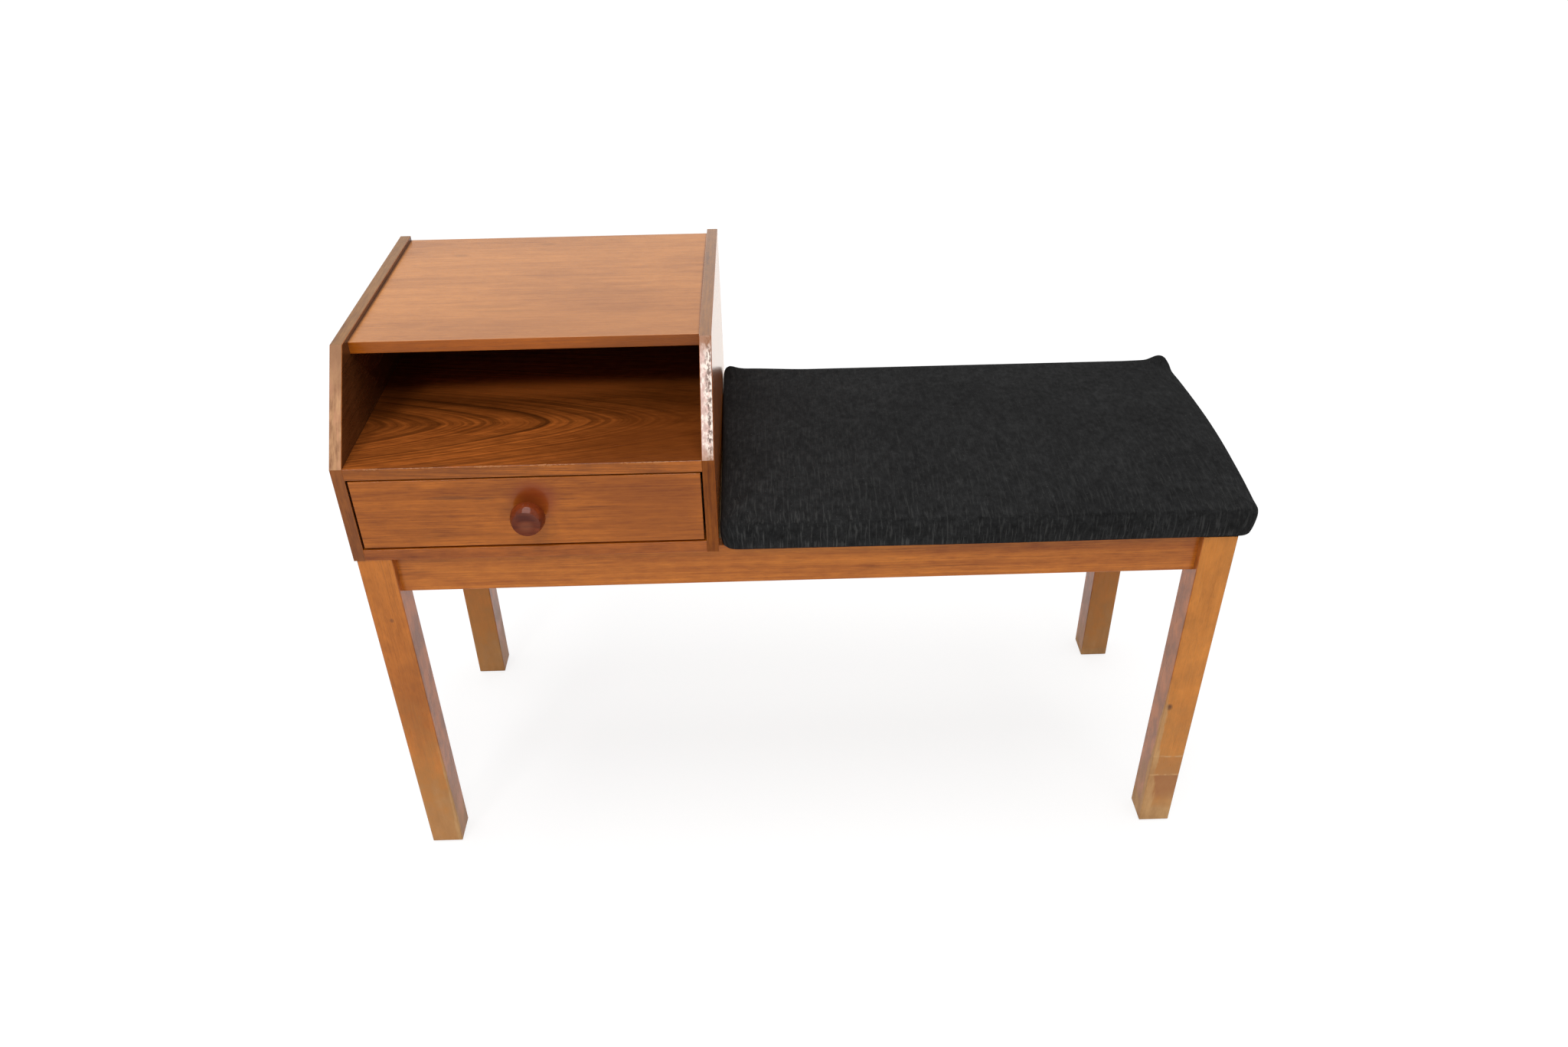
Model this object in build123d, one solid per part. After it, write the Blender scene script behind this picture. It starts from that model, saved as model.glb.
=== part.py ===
from build123d import *
import os

# Telephone bench. A low leg frame carries a small cabinet at its left end, with an open
# shelf over one drawer, and an upholstered seat over the rest of its length.
# Millimetres: +X to the right, +Y to the back, +Z up. The origin lies on the floor, under
# the middle of the whole bench, knob and seat overhang included.

# ---- Leg frame ----
FRAME_LENGTH = 880.0        # over the legs
FRAME_DEPTH = 335.0         # over the legs
FRAME_HEIGHT = 418.0        # floor to the tops of legs and rails
LEG = 35.0                  # square section
LEG_EASE = 1.5              # rounding of the long edges
FOOT_CHAMFER = 2.5
RAIL_HEIGHT = 47.0
RAIL_THICKNESS = 20.0
RAIL_SETBACK = 9.0          # face of a rail behind the faces of its legs
RAIL_EASE = 1.0
TENON_THICKNESS = 8.0
TENON_TOP_SHOULDER = 10.0
TENON_BOTTOM_SHOULDER = 5.0
TENON_TIP_GAP = 0.4         # between the two mitred tenon tips inside a leg
BEARER_WIDTH = 80.0         # flat board under the joint of cabinet and seat
BEARER_THICKNESS = 20.0
BEARER_HOUSING = 8.0        # how far its ends are let into the long rails
BLOCK_REACH = 60.0          # corner block, along each rail
BLOCK_THICKNESS = 20.0
BLOCK_HOLE_INSET = 20.0     # screw hole from the inner faces of the two rails

# ---- Cabinet ----
CABINET_WIDTH = 362.0
CABINET_HEIGHT = 198.5
CABINET_OVERHANG = 2.0      # past the outer faces of the left legs
CABINET_PROUD = 1.5         # in front of the front legs
CABINET_REAR_OVERHANG = 18.5    # behind the rear legs
SIDE_THICKNESS = 12.0
PANEL_THICKNESS = 12.5      # top, shelf and bottom
SLANT_SETBACK = 76.5        # the sides lean back this far at their top
SLANT_DROP = 92.5           # and from the shelf's upper face upwards
TOP_DROP = 5.0
TOP_BEHIND_SLANT = 15.0
BACK_THICKNESS = 4.0
BACK_REBATE = 6.0           # width of the ledge that the back panel is let into
HOUSING_DEPTH = 4.0         # shelf ends in the sides
HOUSING_STOP = 10.0         # from the front, so that the housing doesn't show
EDGE_EASE = 0.8
DOWEL_DIAMETER = 6.0
DOWEL_LENGTH = 28.0
DOWEL_IN_SIDE = 8.0
DOWEL_END_GAP = 1.0         # glue space at each end of its hole
DOWEL_INSET = 45.0          # from the front and rear edges of a panel

# ---- Drawer ----
DRAWER_SIDE_GAP = 2.0
DRAWER_TOP_GAP = 1.5
DRAWER_BOTTOM_GAP = 2.5
DRAWER_RUN = 0.3            # running clearance under the drawer sides
DRAWER_REAR_GAP = 16.0      # behind the closed drawer
DRAWER_SIDE_HEIGHT = 72.0
DRAWER_BOARD = 9.0          # sides and back
DRAWER_FRONT_THICKNESS = 16.0
DRAWER_LAP = 5.0            # wood left in front of the lapped dovetails
DRAWER_BACK_DROP = 5.0      # top of the back below the tops of the sides
DRAWER_PANEL = 4.0          # bottom panel
GROOVE_DEPTH = 4.0
GROOVE_RISE = 6.0           # groove above the lower edge of a side
FRONT_TAIL_COUNT = 3
BACK_TAIL_COUNT = 2
PIN_WIDTH = 5.0             # a dovetail pin at its narrow end
DOVETAIL_SLOPE = 1 / 7
STOP_LENGTH = 30.0
STOP_DEPTH = 14.0
STOP_HEIGHT = 4.5
STOP_GAP = 0.3              # closed drawer front to its stops
STOP_SPACING = 160.0         # between the two stops' middles

# ---- Knob ----
KNOB_DIAMETER = 34.0
KNOB_PROJECTION = 22.0
KNOB_WIDEST = 10.0          # widest point out from the drawer front
KNOB_EDGE = 3.0             # rounding under the rim
KNOB_FOOT = 19.0            # diameter against the drawer front
KNOB_NECK = 15.0            # diameter at the waist
KNOB_NECK_OUT = 2.5         # waist out from the drawer front
KNOB_FACE = 26.8            # diameter of the dished face
KNOB_DISH = 2.0             # depth of the dish
KNOB_SCREW_IN_KNOB = 11.0
KNOB_SCREW_HEAD = 2.4       # height of the round head inside the drawer

# ---- Seat ----
SEAT_GAP = 1.0              # between the cabinet and the seat
SEAT_OVERHANG = 21.0        # past the outer faces of the right legs
SEAT_PROUD = 6.0            # in front of the front legs
SEAT_REAR_INSET = 10.0      # in front of the rear faces of the rear legs
SEAT_HEIGHT = 43.5          # at the middle of the crown
SEAT_CROWN = 6.0            # rise of the top from front and rear to the middle
SEAT_END_BULGE = 5.0        # the right end swells between its corners
SEAT_SIDE_BULGE = 1.5       # so do the front and the rear
SEAT_CORNER = 17.0          # corner radius in plan
SEAT_TOP_ROUND = 14.0
SEAT_UNDER_ROUND = 5.0
COVER_THICKNESS = 1.5
COVER_TURN_WIDTH = 15.0     # cover under the edge of the board
BOARD_THICKNESS = 12.0
BOARD_INSET = 6.0           # board inside the outline of the seat
BOARD_CORNER = 8.0

# ---- Fasteners ----
SCREW_DIAMETER = 4.0
SCREW_LENGTH = 30.0
SCREW_HEAD_DIAMETER = 8.0
SCREW_HEAD_DEPTH = 2.4
SCREW_POINT = 4.0           # length of the tapered point
SCREW_TIP_DIAMETER = 0.8
SCREW_PLAY = 0.2            # round the shank in the board it passes through
BEARER_SCREW_INSET = 14.0   # from the long edges of the bearer
BEARER_SCREW_SPACING = 180.0
NAIL_WIDTH = 1.5            # the nails are square panel pins
NAIL_HEAD_WIDTH = 3.0
NAIL_HEAD_DEPTH = 0.8
BACK_NAIL_LENGTH = 15.0
BACK_NAIL_INSET = 30.0      # in the sides, from the nails in the top and the bottom
BACK_NAIL_SPACING = 90.0      # in the boards between, from the nails in the sides
DRAWER_NAIL_LENGTH = 16.0
DRAWER_NAIL_INSET = 60.0    # from the ends of the drawer back

# ---- Places that follow from the sizes, about the middle of the leg frame ----
FRAME_LEFT = -FRAME_LENGTH / 2
FRAME_FRONT = -FRAME_DEPTH / 2
RAIL_BOTTOM = FRAME_HEIGHT - RAIL_HEIGHT
RAIL_INNER = RAIL_SETBACK + RAIL_THICKNESS      # inner face of a rail from the leg's face

CAB_LEFT = FRAME_LEFT - CABINET_OVERHANG
CAB_RIGHT = CAB_LEFT + CABINET_WIDTH
CAB_FRONT = FRAME_FRONT - CABINET_PROUD
CAB_REAR = -FRAME_FRONT + CABINET_REAR_OVERHANG
CAB_TOP = FRAME_HEIGHT + CABINET_HEIGHT
INNER_LEFT = CAB_LEFT + SIDE_THICKNESS
INNER_RIGHT = CAB_RIGHT - SIDE_THICKNESS
BACK_FRONT = CAB_REAR - BACK_THICKNESS          # front face of the back panel
FLOOR_TOP = FRAME_HEIGHT + PANEL_THICKNESS      # upper face of the cabinet's bottom panel
SHELF_TOP = CAB_TOP - SLANT_DROP
SHELF_UNDER = SHELF_TOP - PANEL_THICKNESS
TOP_UPPER = CAB_TOP - TOP_DROP
TOP_UNDER = TOP_UPPER - PANEL_THICKNESS
TOP_FRONT = CAB_FRONT + SLANT_SETBACK + TOP_BEHIND_SLANT

DRAWER_LEFT = INNER_LEFT + DRAWER_SIDE_GAP
DRAWER_RIGHT = INNER_RIGHT - DRAWER_SIDE_GAP
DRAWER_MIDDLE = (DRAWER_LEFT + DRAWER_RIGHT) / 2
DRAWER_INNER_FRONT = CAB_FRONT + DRAWER_FRONT_THICKNESS
DRAWER_REAR = BACK_FRONT - DRAWER_REAR_GAP
DRAWER_FRONT_LOW = FLOOR_TOP + DRAWER_BOTTOM_GAP
DRAWER_FRONT_HIGH = SHELF_UNDER - DRAWER_TOP_GAP
DRAWER_SIDE_LOW = FLOOR_TOP + DRAWER_RUN
DRAWER_SIDE_HIGH = DRAWER_SIDE_LOW + DRAWER_SIDE_HEIGHT
DRAWER_PANEL_LOW = DRAWER_SIDE_LOW + GROOVE_RISE
DRAWER_PANEL_HIGH = DRAWER_PANEL_LOW + DRAWER_PANEL
KNOB_HEIGHT = (DRAWER_FRONT_LOW + DRAWER_FRONT_HIGH) / 2

SEAT_LEFT = CAB_RIGHT + SEAT_GAP
SEAT_RIGHT = -FRAME_LEFT + SEAT_OVERHANG
SEAT_FRONT = FRAME_FRONT - SEAT_PROUD
SEAT_REAR = -FRAME_FRONT - SEAT_REAR_INSET
BOARD_LOW = FRAME_HEIGHT + COVER_THICKNESS
BEARER_MIDDLE = CAB_RIGHT                       # the bearer lies half under each

# From the middle of the leg frame to the middle of the whole bench.
ORIGIN_X = (CAB_LEFT + SEAT_RIGHT) / 2
ORIGIN_Y = (CAB_FRONT - KNOB_PROJECTION + CAB_REAR) / 2


# ---- Basic forms ----
STANDING = (Align.CENTER, Align.CENTER, Align.MIN)      # round forms drawn up from the origin


def block(x0, x1, y0, y1, z0, z1):
    """A board between two corners."""
    middle = Pos((x0 + x1) / 2, (y0 + y1) / 2, (z0 + z1) / 2)
    return middle * Box(x1 - x0, y1 - y0, z1 - z0)


def plan_prism(points, z0, z1):
    """An outline in plan, given as (x, y), from height z0 to z1."""
    outline = Polyline(*[(x, y, z0) for x, y in points], close=True)
    return extrude(make_face(outline), z1 - z0, dir=(0, 0, 1))


def side_prism(points, x0, x1):
    """An outline seen from the side, given as (y, z), from x0 to x1."""
    outline = Polyline(*[(x0, y, z) for y, z in points], close=True)
    return extrude(make_face(outline), x1 - x0, dir=(1, 0, 0))


def left_right(solid):
    """A solid and its mirror image at the other end of the leg frame."""
    return solid, mirror(solid, about=Plane.YZ)


def front_rear(solid):
    """A solid and its mirror image at the other side of the leg frame."""
    return solid, mirror(solid, about=Plane.XZ)


def cut(solid, tools):
    for tool in tools:
        solid -= tool
    return solid


def group(pieces):
    """Separate solids kept together as one sub-part."""
    return Compound([solid for piece in pieces for solid in piece.solids()])


def ease_front_edges(board, radius=EDGE_EASE):
    """Rounds the long upper and lower edges of a board's front face."""
    edges = board.edges().filter_by(Axis.X).group_by(Axis.Y)[0]
    return fillet(edges, radius)


# ---- Fasteners, drawn pointing up with the head's flat face at the origin ----
def wood_screw():
    """A countersunk wood screw."""
    radius = SCREW_DIAMETER / 2
    shank = SCREW_LENGTH - SCREW_POINT
    head = Cone(SCREW_HEAD_DIAMETER / 2, radius, SCREW_HEAD_DEPTH, align=STANDING)
    stem = Cylinder(radius, shank, align=STANDING)
    point = Cone(radius, SCREW_TIP_DIAMETER / 2, SCREW_POINT, align=STANDING)
    return head + stem + Pos(0, 0, shank) * point


def screw_clearance(depth):
    """The countersunk hole for a wood screw in the board that it passes through."""
    sink = Cone(SCREW_HEAD_DIAMETER / 2, SCREW_DIAMETER / 2, SCREW_HEAD_DEPTH, align=STANDING)
    return sink + Cylinder(SCREW_DIAMETER / 2 + SCREW_PLAY, depth, align=STANDING)


def nail(length):
    """A panel pin with a small square head."""
    head = Box(NAIL_HEAD_WIDTH, NAIL_HEAD_WIDTH, NAIL_HEAD_DEPTH, align=STANDING)
    return head + Box(NAIL_WIDTH, NAIL_WIDTH, length, align=STANDING)


# ---- Leg frame ----
def tenon_outline(tip_gap):
    """A rail's tenon in plan, as (along the rail, across it) from the leg's outer corner.

    Its tip is mitred, so that it meets the tenon of the other rail inside the leg.
    """
    near = RAIL_SETBACK + (RAIL_THICKNESS - TENON_THICKNESS) / 2
    far = near + TENON_THICKNESS
    return [(LEG, near), (near + tip_gap, near), (far + tip_gap, far), (LEG, far)]


def frame_corner(points, swapped):
    """Points given from the outer corner of the front left leg, in place."""
    if swapped:
        points = [(across, along) for along, across in points]
    return [(FRAME_LEFT + x, FRAME_FRONT + y) for x, y in points]


def tenon(swapped, tip_gap=0.0):
    """A tenon in the front left leg; swapped is the one of the rail at the end."""
    outline = frame_corner(tenon_outline(tip_gap), swapped)
    return plan_prism(outline, RAIL_BOTTOM + TENON_BOTTOM_SHOULDER, FRAME_HEIGHT - TENON_TOP_SHOULDER)


def front_left_leg():
    """A square leg with eased long edges, chamfered round its foot."""
    middle = Pos(FRAME_LEFT + LEG / 2, FRAME_FRONT + LEG / 2)
    foot = LEG - 2 * FOOT_CHAMFER
    square = extrude(Rectangle(foot, foot), FOOT_CHAMFER, taper=-45)
    square += Pos(0, 0, FOOT_CHAMFER) * extrude(Rectangle(LEG, LEG), FRAME_HEIGHT - FOOT_CHAMFER)
    leg = middle * (square & extrude(RectangleRounded(LEG, LEG, LEG_EASE), FRAME_HEIGHT))
    return leg - tenon(swapped=False) - tenon(swapped=True)


def bearer():
    rail_inner = FRAME_FRONT + RAIL_INNER
    end = rail_inner - BEARER_HOUSING
    board = block(BEARER_MIDDLE - BEARER_WIDTH / 2, BEARER_MIDDLE + BEARER_WIDTH / 2, end, -end,
                  FRAME_HEIGHT - BEARER_THICKNESS, FRAME_HEIGHT)
    for place in bearer_screw_places():
        board -= place * screw_clearance(BEARER_THICKNESS)
    return board


def bearer_screw_places():
    """Screws up through the bearer: the first two into the cabinet, the others into the seat."""
    reach = BEARER_WIDTH / 2 - BEARER_SCREW_INSET
    half = BEARER_SCREW_SPACING / 2
    under = FRAME_HEIGHT - BEARER_THICKNESS
    return [Pos(BEARER_MIDDLE + side * reach, y, under) for side in (-1, 1) for y in (-half, half)]


def front_rail():
    body = block(FRAME_LEFT + LEG, -FRAME_LEFT - LEG, FRAME_FRONT + RAIL_SETBACK,
                 FRAME_FRONT + RAIL_INNER, RAIL_BOTTOM, FRAME_HEIGHT)
    body = fillet(body.edges().filter_by(Axis.X).group_by(Axis.Z)[0], RAIL_EASE)
    for end in left_right(tenon(swapped=False, tip_gap=TENON_TIP_GAP)):
        body += end
    return body - bearer()


def left_rail():
    body = block(FRAME_LEFT + RAIL_SETBACK, FRAME_LEFT + RAIL_INNER, FRAME_FRONT + LEG,
                 -FRAME_FRONT - LEG, RAIL_BOTTOM, FRAME_HEIGHT)
    body = fillet(body.edges().filter_by(Axis.Y).group_by(Axis.Z)[0], RAIL_EASE)
    for end in front_rear(tenon(swapped=True, tip_gap=TENON_TIP_GAP)):
        body += end
    return body


def block_screw_places():
    """Screws up through the corner blocks, the left two into the cabinet."""
    inset = RAIL_INNER + BLOCK_HOLE_INSET
    under = FRAME_HEIGHT - BLOCK_THICKNESS
    return [Pos(side * (FRAME_LEFT + inset), y, under) for side in (1, -1)
            for y in (FRAME_FRONT + inset, -FRAME_FRONT - inset)]


def front_left_corner_block():
    """A three-cornered block glued behind the leg, notched round the leg's inner corner."""
    reach = RAIL_INNER + BLOCK_REACH
    outline = [(LEG, RAIL_INNER), (reach, RAIL_INNER), (RAIL_INNER, reach), (RAIL_INNER, LEG),
               (LEG, LEG)]
    body = plan_prism(frame_corner(outline, False), FRAME_HEIGHT - BLOCK_THICKNESS, FRAME_HEIGHT)
    return body - block_screw_places()[0] * screw_clearance(BLOCK_THICKNESS)


def frame_parts():
    parts = {}
    left_leg = front_left_leg()
    left_block = front_left_corner_block()
    for piece, name in ((left_leg, "leg"), (left_block, "corner_block")):
        for front, depth in zip(front_rear(piece), ("front", "rear")):
            for solid, end in zip(left_right(front), ("left", "right")):
                parts[f"{name}_{depth}_{end}"] = solid
    parts["rail_front"], parts["rail_rear"] = front_rear(front_rail())
    parts["rail_left"], parts["rail_right"] = left_right(left_rail())
    parts["middle_bearer"] = bearer()
    return parts


# ---- Cabinet ----
def side_board(x0):
    """A cabinet side: upright in front of the drawer, then leaning back to its top."""
    outline = [(CAB_FRONT, FRAME_HEIGHT), (CAB_FRONT, SHELF_TOP), (CAB_FRONT + SLANT_SETBACK, CAB_TOP),
               (CAB_REAR, CAB_TOP), (CAB_REAR, FRAME_HEIGHT)]
    board = side_prism(outline, x0, x0 + SIDE_THICKNESS)
    rims = board.edges().filter_by(Plane.YZ)
    return fillet([edge for edge in rims if edge.center().Z > FRAME_HEIGHT + EDGE_EASE], EDGE_EASE)


def shelf_board():
    """The shelf, with its ends let into the sides behind a stop at the front."""
    board = block(INNER_LEFT, INNER_RIGHT, CAB_FRONT, BACK_FRONT, SHELF_UNDER, SHELF_TOP)
    board = ease_front_edges(board)
    tongues = block(INNER_LEFT - HOUSING_DEPTH, INNER_RIGHT + HOUSING_DEPTH, CAB_FRONT + HOUSING_STOP,
                    BACK_FRONT, SHELF_UNDER, SHELF_TOP)
    return board + tongues


def back_board():
    return block(INNER_LEFT - BACK_REBATE, INNER_RIGHT + BACK_REBATE, BACK_FRONT, CAB_REAR,
                 FLOOR_TOP - BACK_REBATE, TOP_UNDER + BACK_REBATE)


def dowels(end_gap=0.0):
    """Dowels from both sides into the top and the bottom panel, and their longer holes."""
    half = PANEL_THICKNESS / 2
    centre_in = DOWEL_LENGTH / 2 - DOWEL_IN_SIDE
    pegs = []
    for z, front in ((FRAME_HEIGHT + half, CAB_FRONT), (TOP_UNDER + half, TOP_FRONT)):
        for y in (front + DOWEL_INSET, BACK_FRONT - DOWEL_INSET):
            for x in (INNER_LEFT + centre_in, INNER_RIGHT - centre_in):
                peg = Cylinder(DOWEL_DIAMETER / 2, DOWEL_LENGTH + 2 * end_gap, rotation=(0, 90, 0))
                pegs.append(Pos(x, y, z) * peg)
    return pegs


def back_nails():
    """Nails through the back panel: two each into the sides, the top, the shelf and the bottom."""
    ledge = BACK_REBATE / 2
    left, right = INNER_LEFT - ledge, INNER_RIGHT + ledge
    low, high = FLOOR_TOP - ledge, TOP_UNDER + ledge
    shelf = SHELF_TOP - PANEL_THICKNESS / 2
    in_sides = [(x, z) for x in (left, right) for z in (low + BACK_NAIL_INSET, high - BACK_NAIL_INSET)]
    across = (left + BACK_NAIL_SPACING, right - BACK_NAIL_SPACING)
    in_boards = [(x, z) for x in across for z in (low, shelf, high)]
    driven_in = Rot(90, 0, 0) * nail(BACK_NAIL_LENGTH)
    return [Pos(x, CAB_REAR, z) * driven_in for x, z in in_sides + in_boards]


def cabinet_screws():
    places = block_screw_places()[:2] + bearer_screw_places()[:2]
    return [place * wood_screw() for place in places]


def drawer_stops():
    """Two small blocks glued behind the closed drawer front, under the drawer's bottom."""
    front = DRAWER_INNER_FRONT + STOP_GAP
    stops = []
    for side in (-1, 1):
        x = DRAWER_MIDDLE + side * STOP_SPACING / 2
        stops.append(block(x - STOP_LENGTH / 2, x + STOP_LENGTH / 2, front, front + STOP_DEPTH,
                           FLOOR_TOP, FLOOR_TOP + STOP_HEIGHT))
    return stops


def cabinet_parts():
    shelf = shelf_board()
    back = back_board()
    holes = dowels(DOWEL_END_GAP)
    nails = back_nails()
    screws = cabinet_screws()
    top = block(INNER_LEFT, INNER_RIGHT, TOP_FRONT, CAB_REAR, TOP_UNDER, TOP_UPPER)
    bottom = block(INNER_LEFT, INNER_RIGHT, CAB_FRONT, CAB_REAR, FRAME_HEIGHT, FLOOR_TOP)
    stops = drawer_stops()
    return {
        "cabinet_side_left": cut(side_board(CAB_LEFT), [shelf, back] + holes + nails),
        "cabinet_side_right": cut(side_board(INNER_RIGHT), [shelf, back] + holes + nails),
        "cabinet_top": cut(ease_front_edges(top), [back] + holes + nails),
        "cabinet_shelf": cut(shelf, nails),
        "cabinet_bottom": cut(ease_front_edges(bottom), [back] + holes + nails + screws),
        "cabinet_back": cut(back, nails),
        "cabinet_dowels": group(dowels()),
        "cabinet_screws": group(screws),
        "back_panel_nails": group(nails),
        "drawer_stop_left": stops[0],
        "drawer_stop_right": stops[1],
    }


# ---- Drawer ----
def tails(x0, root, tip, low, high, count):
    """Dovetails on a side board from x0, widening from their root to their tip, given as y."""
    pitch = (high - low) / count
    wide = (pitch - PIN_WIDTH) / 2
    narrow = wide - abs(tip - root) * DOVETAIL_SLOPE
    fans = []
    for number in range(count):
        middle = low + (number + 0.5) * pitch
        outline = [(root, middle - narrow), (tip, middle - wide),
                   (tip, middle + wide), (root, middle + narrow)]
        fans.append(side_prism(outline, x0, x0 + DRAWER_BOARD))
    return fans


def front_tails(x0):
    return tails(x0, DRAWER_INNER_FRONT, CAB_FRONT + DRAWER_LAP,
                 DRAWER_FRONT_LOW, DRAWER_SIDE_HIGH, FRONT_TAIL_COUNT)


def back_pins(x0):
    """What the drawer back holds between and beside the rear tails of a side."""
    low, high = DRAWER_PANEL_HIGH, DRAWER_SIDE_HIGH - DRAWER_BACK_DROP
    root = DRAWER_REAR - DRAWER_BOARD
    slot = block(x0, x0 + DRAWER_BOARD, root, DRAWER_REAR, low, high)
    return cut(slot, tails(x0, root, DRAWER_REAR, low, high, BACK_TAIL_COUNT))


def drawer_panel(y0=DRAWER_INNER_FRONT - GROOVE_DEPTH):
    """The thin bottom, from its groove in the front, at y0, to the rear, under the drawer back."""
    reach = DRAWER_BOARD - GROOVE_DEPTH
    return block(DRAWER_LEFT + reach, DRAWER_RIGHT - reach, y0, DRAWER_REAR,
                 DRAWER_PANEL_LOW, DRAWER_PANEL_HIGH)


def drawer_side(x0):
    """A drawer side, grooved for the bottom right through its front end, which the front hides."""
    board = block(x0, x0 + DRAWER_BOARD, DRAWER_INNER_FRONT, DRAWER_REAR,
                  DRAWER_SIDE_LOW, DRAWER_SIDE_HIGH)
    for tail in front_tails(x0):
        board += tail
    return board - back_pins(x0) - drawer_panel(CAB_FRONT)


def drawer_nails():
    """Nails up through the bottom into the drawer back."""
    y = DRAWER_REAR - DRAWER_BOARD / 2
    spots = (DRAWER_LEFT + DRAWER_NAIL_INSET, DRAWER_MIDDLE, DRAWER_RIGHT - DRAWER_NAIL_INSET)
    return [Pos(x, y, DRAWER_PANEL_LOW) * nail(DRAWER_NAIL_LENGTH) for x in spots]


def knob():
    """A turned knob: a short waisted stem, a thick rim that rounds in to a dished face."""
    foot, neck, rim, face = KNOB_FOOT / 2, KNOB_NECK / 2, KNOB_DIAMETER / 2, KNOB_FACE / 2
    out, under = KNOB_PROJECTION, KNOB_WIDEST - KNOB_EDGE
    cove = under - KNOB_NECK_OUT
    outline = [
        Line((0, 0), (foot, 0)),
        TangentArc((neck, KNOB_NECK_OUT), (foot, 0), tangent=(0, -1)),
        TangentArc((neck, KNOB_NECK_OUT), (neck + cove, under), tangent=(0, 1)),
        Line((neck + cove, under), (rim - KNOB_EDGE, under)),
        TangentArc((rim - KNOB_EDGE, under), (rim, KNOB_WIDEST), tangent=(1, 0)),
        TangentArc((rim, KNOB_WIDEST), (face, out), tangent=(0, 1)),
        TangentArc((0, out - KNOB_DISH), (face, out), tangent=(1, 0)),
        Line((0, out - KNOB_DISH), (0, 0)),
    ]
    turned = revolve(make_face(outline), Axis.Y)
    return Pos(DRAWER_MIDDLE, CAB_FRONT, KNOB_HEIGHT) * Rot(180, 0, 0) * turned


def knob_screw():
    """A round-headed screw from inside the drawer, through its front, into the knob."""
    radius, head = SCREW_DIAMETER / 2, SCREW_HEAD_DIAMETER / 2
    length = DRAWER_FRONT_THICKNESS + KNOB_SCREW_IN_KNOB
    outline = [
        TangentArc((0, -KNOB_SCREW_HEAD), (head, 0), tangent=(1, 0)),
        Line((head, 0), (radius, 0)),
        Line((radius, 0), (radius, length)),
        Line((radius, length), (0, length)),
        Line((0, length), (0, -KNOB_SCREW_HEAD)),
    ]
    turned = revolve(make_face(outline), Axis.Y)
    return Pos(DRAWER_MIDDLE, DRAWER_INNER_FRONT, KNOB_HEIGHT) * Rot(180, 0, 0) * turned


def drawer_parts():
    right_x = DRAWER_RIGHT - DRAWER_BOARD
    nails = drawer_nails()
    screw = knob_screw()
    front = block(DRAWER_LEFT, DRAWER_RIGHT, CAB_FRONT, DRAWER_INNER_FRONT,
                  DRAWER_FRONT_LOW, DRAWER_FRONT_HIGH)
    front = fillet(front.faces().sort_by(Axis.Y)[0].edges(), EDGE_EASE)
    front = cut(front, front_tails(DRAWER_LEFT) + front_tails(right_x) + [drawer_panel(), screw])
    back = block(DRAWER_LEFT + DRAWER_BOARD, right_x, DRAWER_REAR - DRAWER_BOARD, DRAWER_REAR,
                 DRAWER_PANEL_HIGH, DRAWER_SIDE_HIGH - DRAWER_BACK_DROP)
    back = back + back_pins(DRAWER_LEFT) + back_pins(right_x)
    return {
        "drawer_front": front,
        "drawer_side_left": drawer_side(DRAWER_LEFT),
        "drawer_side_right": drawer_side(right_x),
        "drawer_back": cut(back, nails),
        "drawer_bottom": cut(drawer_panel(), nails),
        "drawer_bottom_nails": group(nails),
        "drawer_knob": knob() - screw,
        "drawer_knob_screw": screw,
    }


# ---- Seat ----
def seat_outline(inset, z):
    """The seat in plan: straight against the cabinet, swelling a little on its free sides."""
    x0, x1 = SEAT_LEFT + inset, SEAT_RIGHT - SEAT_END_BULGE - inset
    y0, y1 = SEAT_FRONT + SEAT_SIDE_BULGE + inset, SEAT_REAR - SEAT_SIDE_BULGE - inset
    x_middle, y_middle = (x0 + x1) / 2, (y0 + y1) / 2
    sides = [
        ThreePointArc((x0, y0, z), (x_middle, y0 - SEAT_SIDE_BULGE, z), (x1, y0, z)),
        ThreePointArc((x1, y0, z), (x1 + SEAT_END_BULGE, y_middle, z), (x1, y1, z)),
        ThreePointArc((x1, y1, z), (x_middle, y1 + SEAT_SIDE_BULGE, z), (x0, y1, z)),
        Line((x0, y1, z), (x0, y0, z)),
    ]
    return make_face(sides)


def seat_form(inset):
    """The upholstered seat, crowned from front to rear; inset is a layer taken off all round."""
    low = FRAME_HEIGHT + inset
    high = FRAME_HEIGHT + SEAT_HEIGHT - inset
    body = extrude(seat_outline(inset, low), SEAT_HEIGHT - 2 * inset, dir=(0, 0, 1))
    body = fillet(body.edges().filter_by(Axis.Z), SEAT_CORNER - inset)
    y_middle = (SEAT_FRONT + SEAT_REAR) / 2
    crown_edges = [
        ThreePointArc((SEAT_LEFT, SEAT_FRONT, high - SEAT_CROWN), (SEAT_LEFT, y_middle, high),
                      (SEAT_LEFT, SEAT_REAR, high - SEAT_CROWN)),
        Line((SEAT_LEFT, SEAT_REAR, high - SEAT_CROWN), (SEAT_LEFT, SEAT_REAR, 0)),
        Line((SEAT_LEFT, SEAT_REAR, 0), (SEAT_LEFT, SEAT_FRONT, 0)),
        Line((SEAT_LEFT, SEAT_FRONT, 0), (SEAT_LEFT, SEAT_FRONT, high - SEAT_CROWN)),
    ]
    body &= extrude(make_face(crown_edges), SEAT_RIGHT - SEAT_LEFT, dir=(1, 0, 0))
    body = fillet(body.faces().sort_by(Axis.Z)[-1].edges(), SEAT_TOP_ROUND - inset)
    return fillet(body.faces().sort_by(Axis.Z)[0].edges(), SEAT_UNDER_ROUND - inset)


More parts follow.
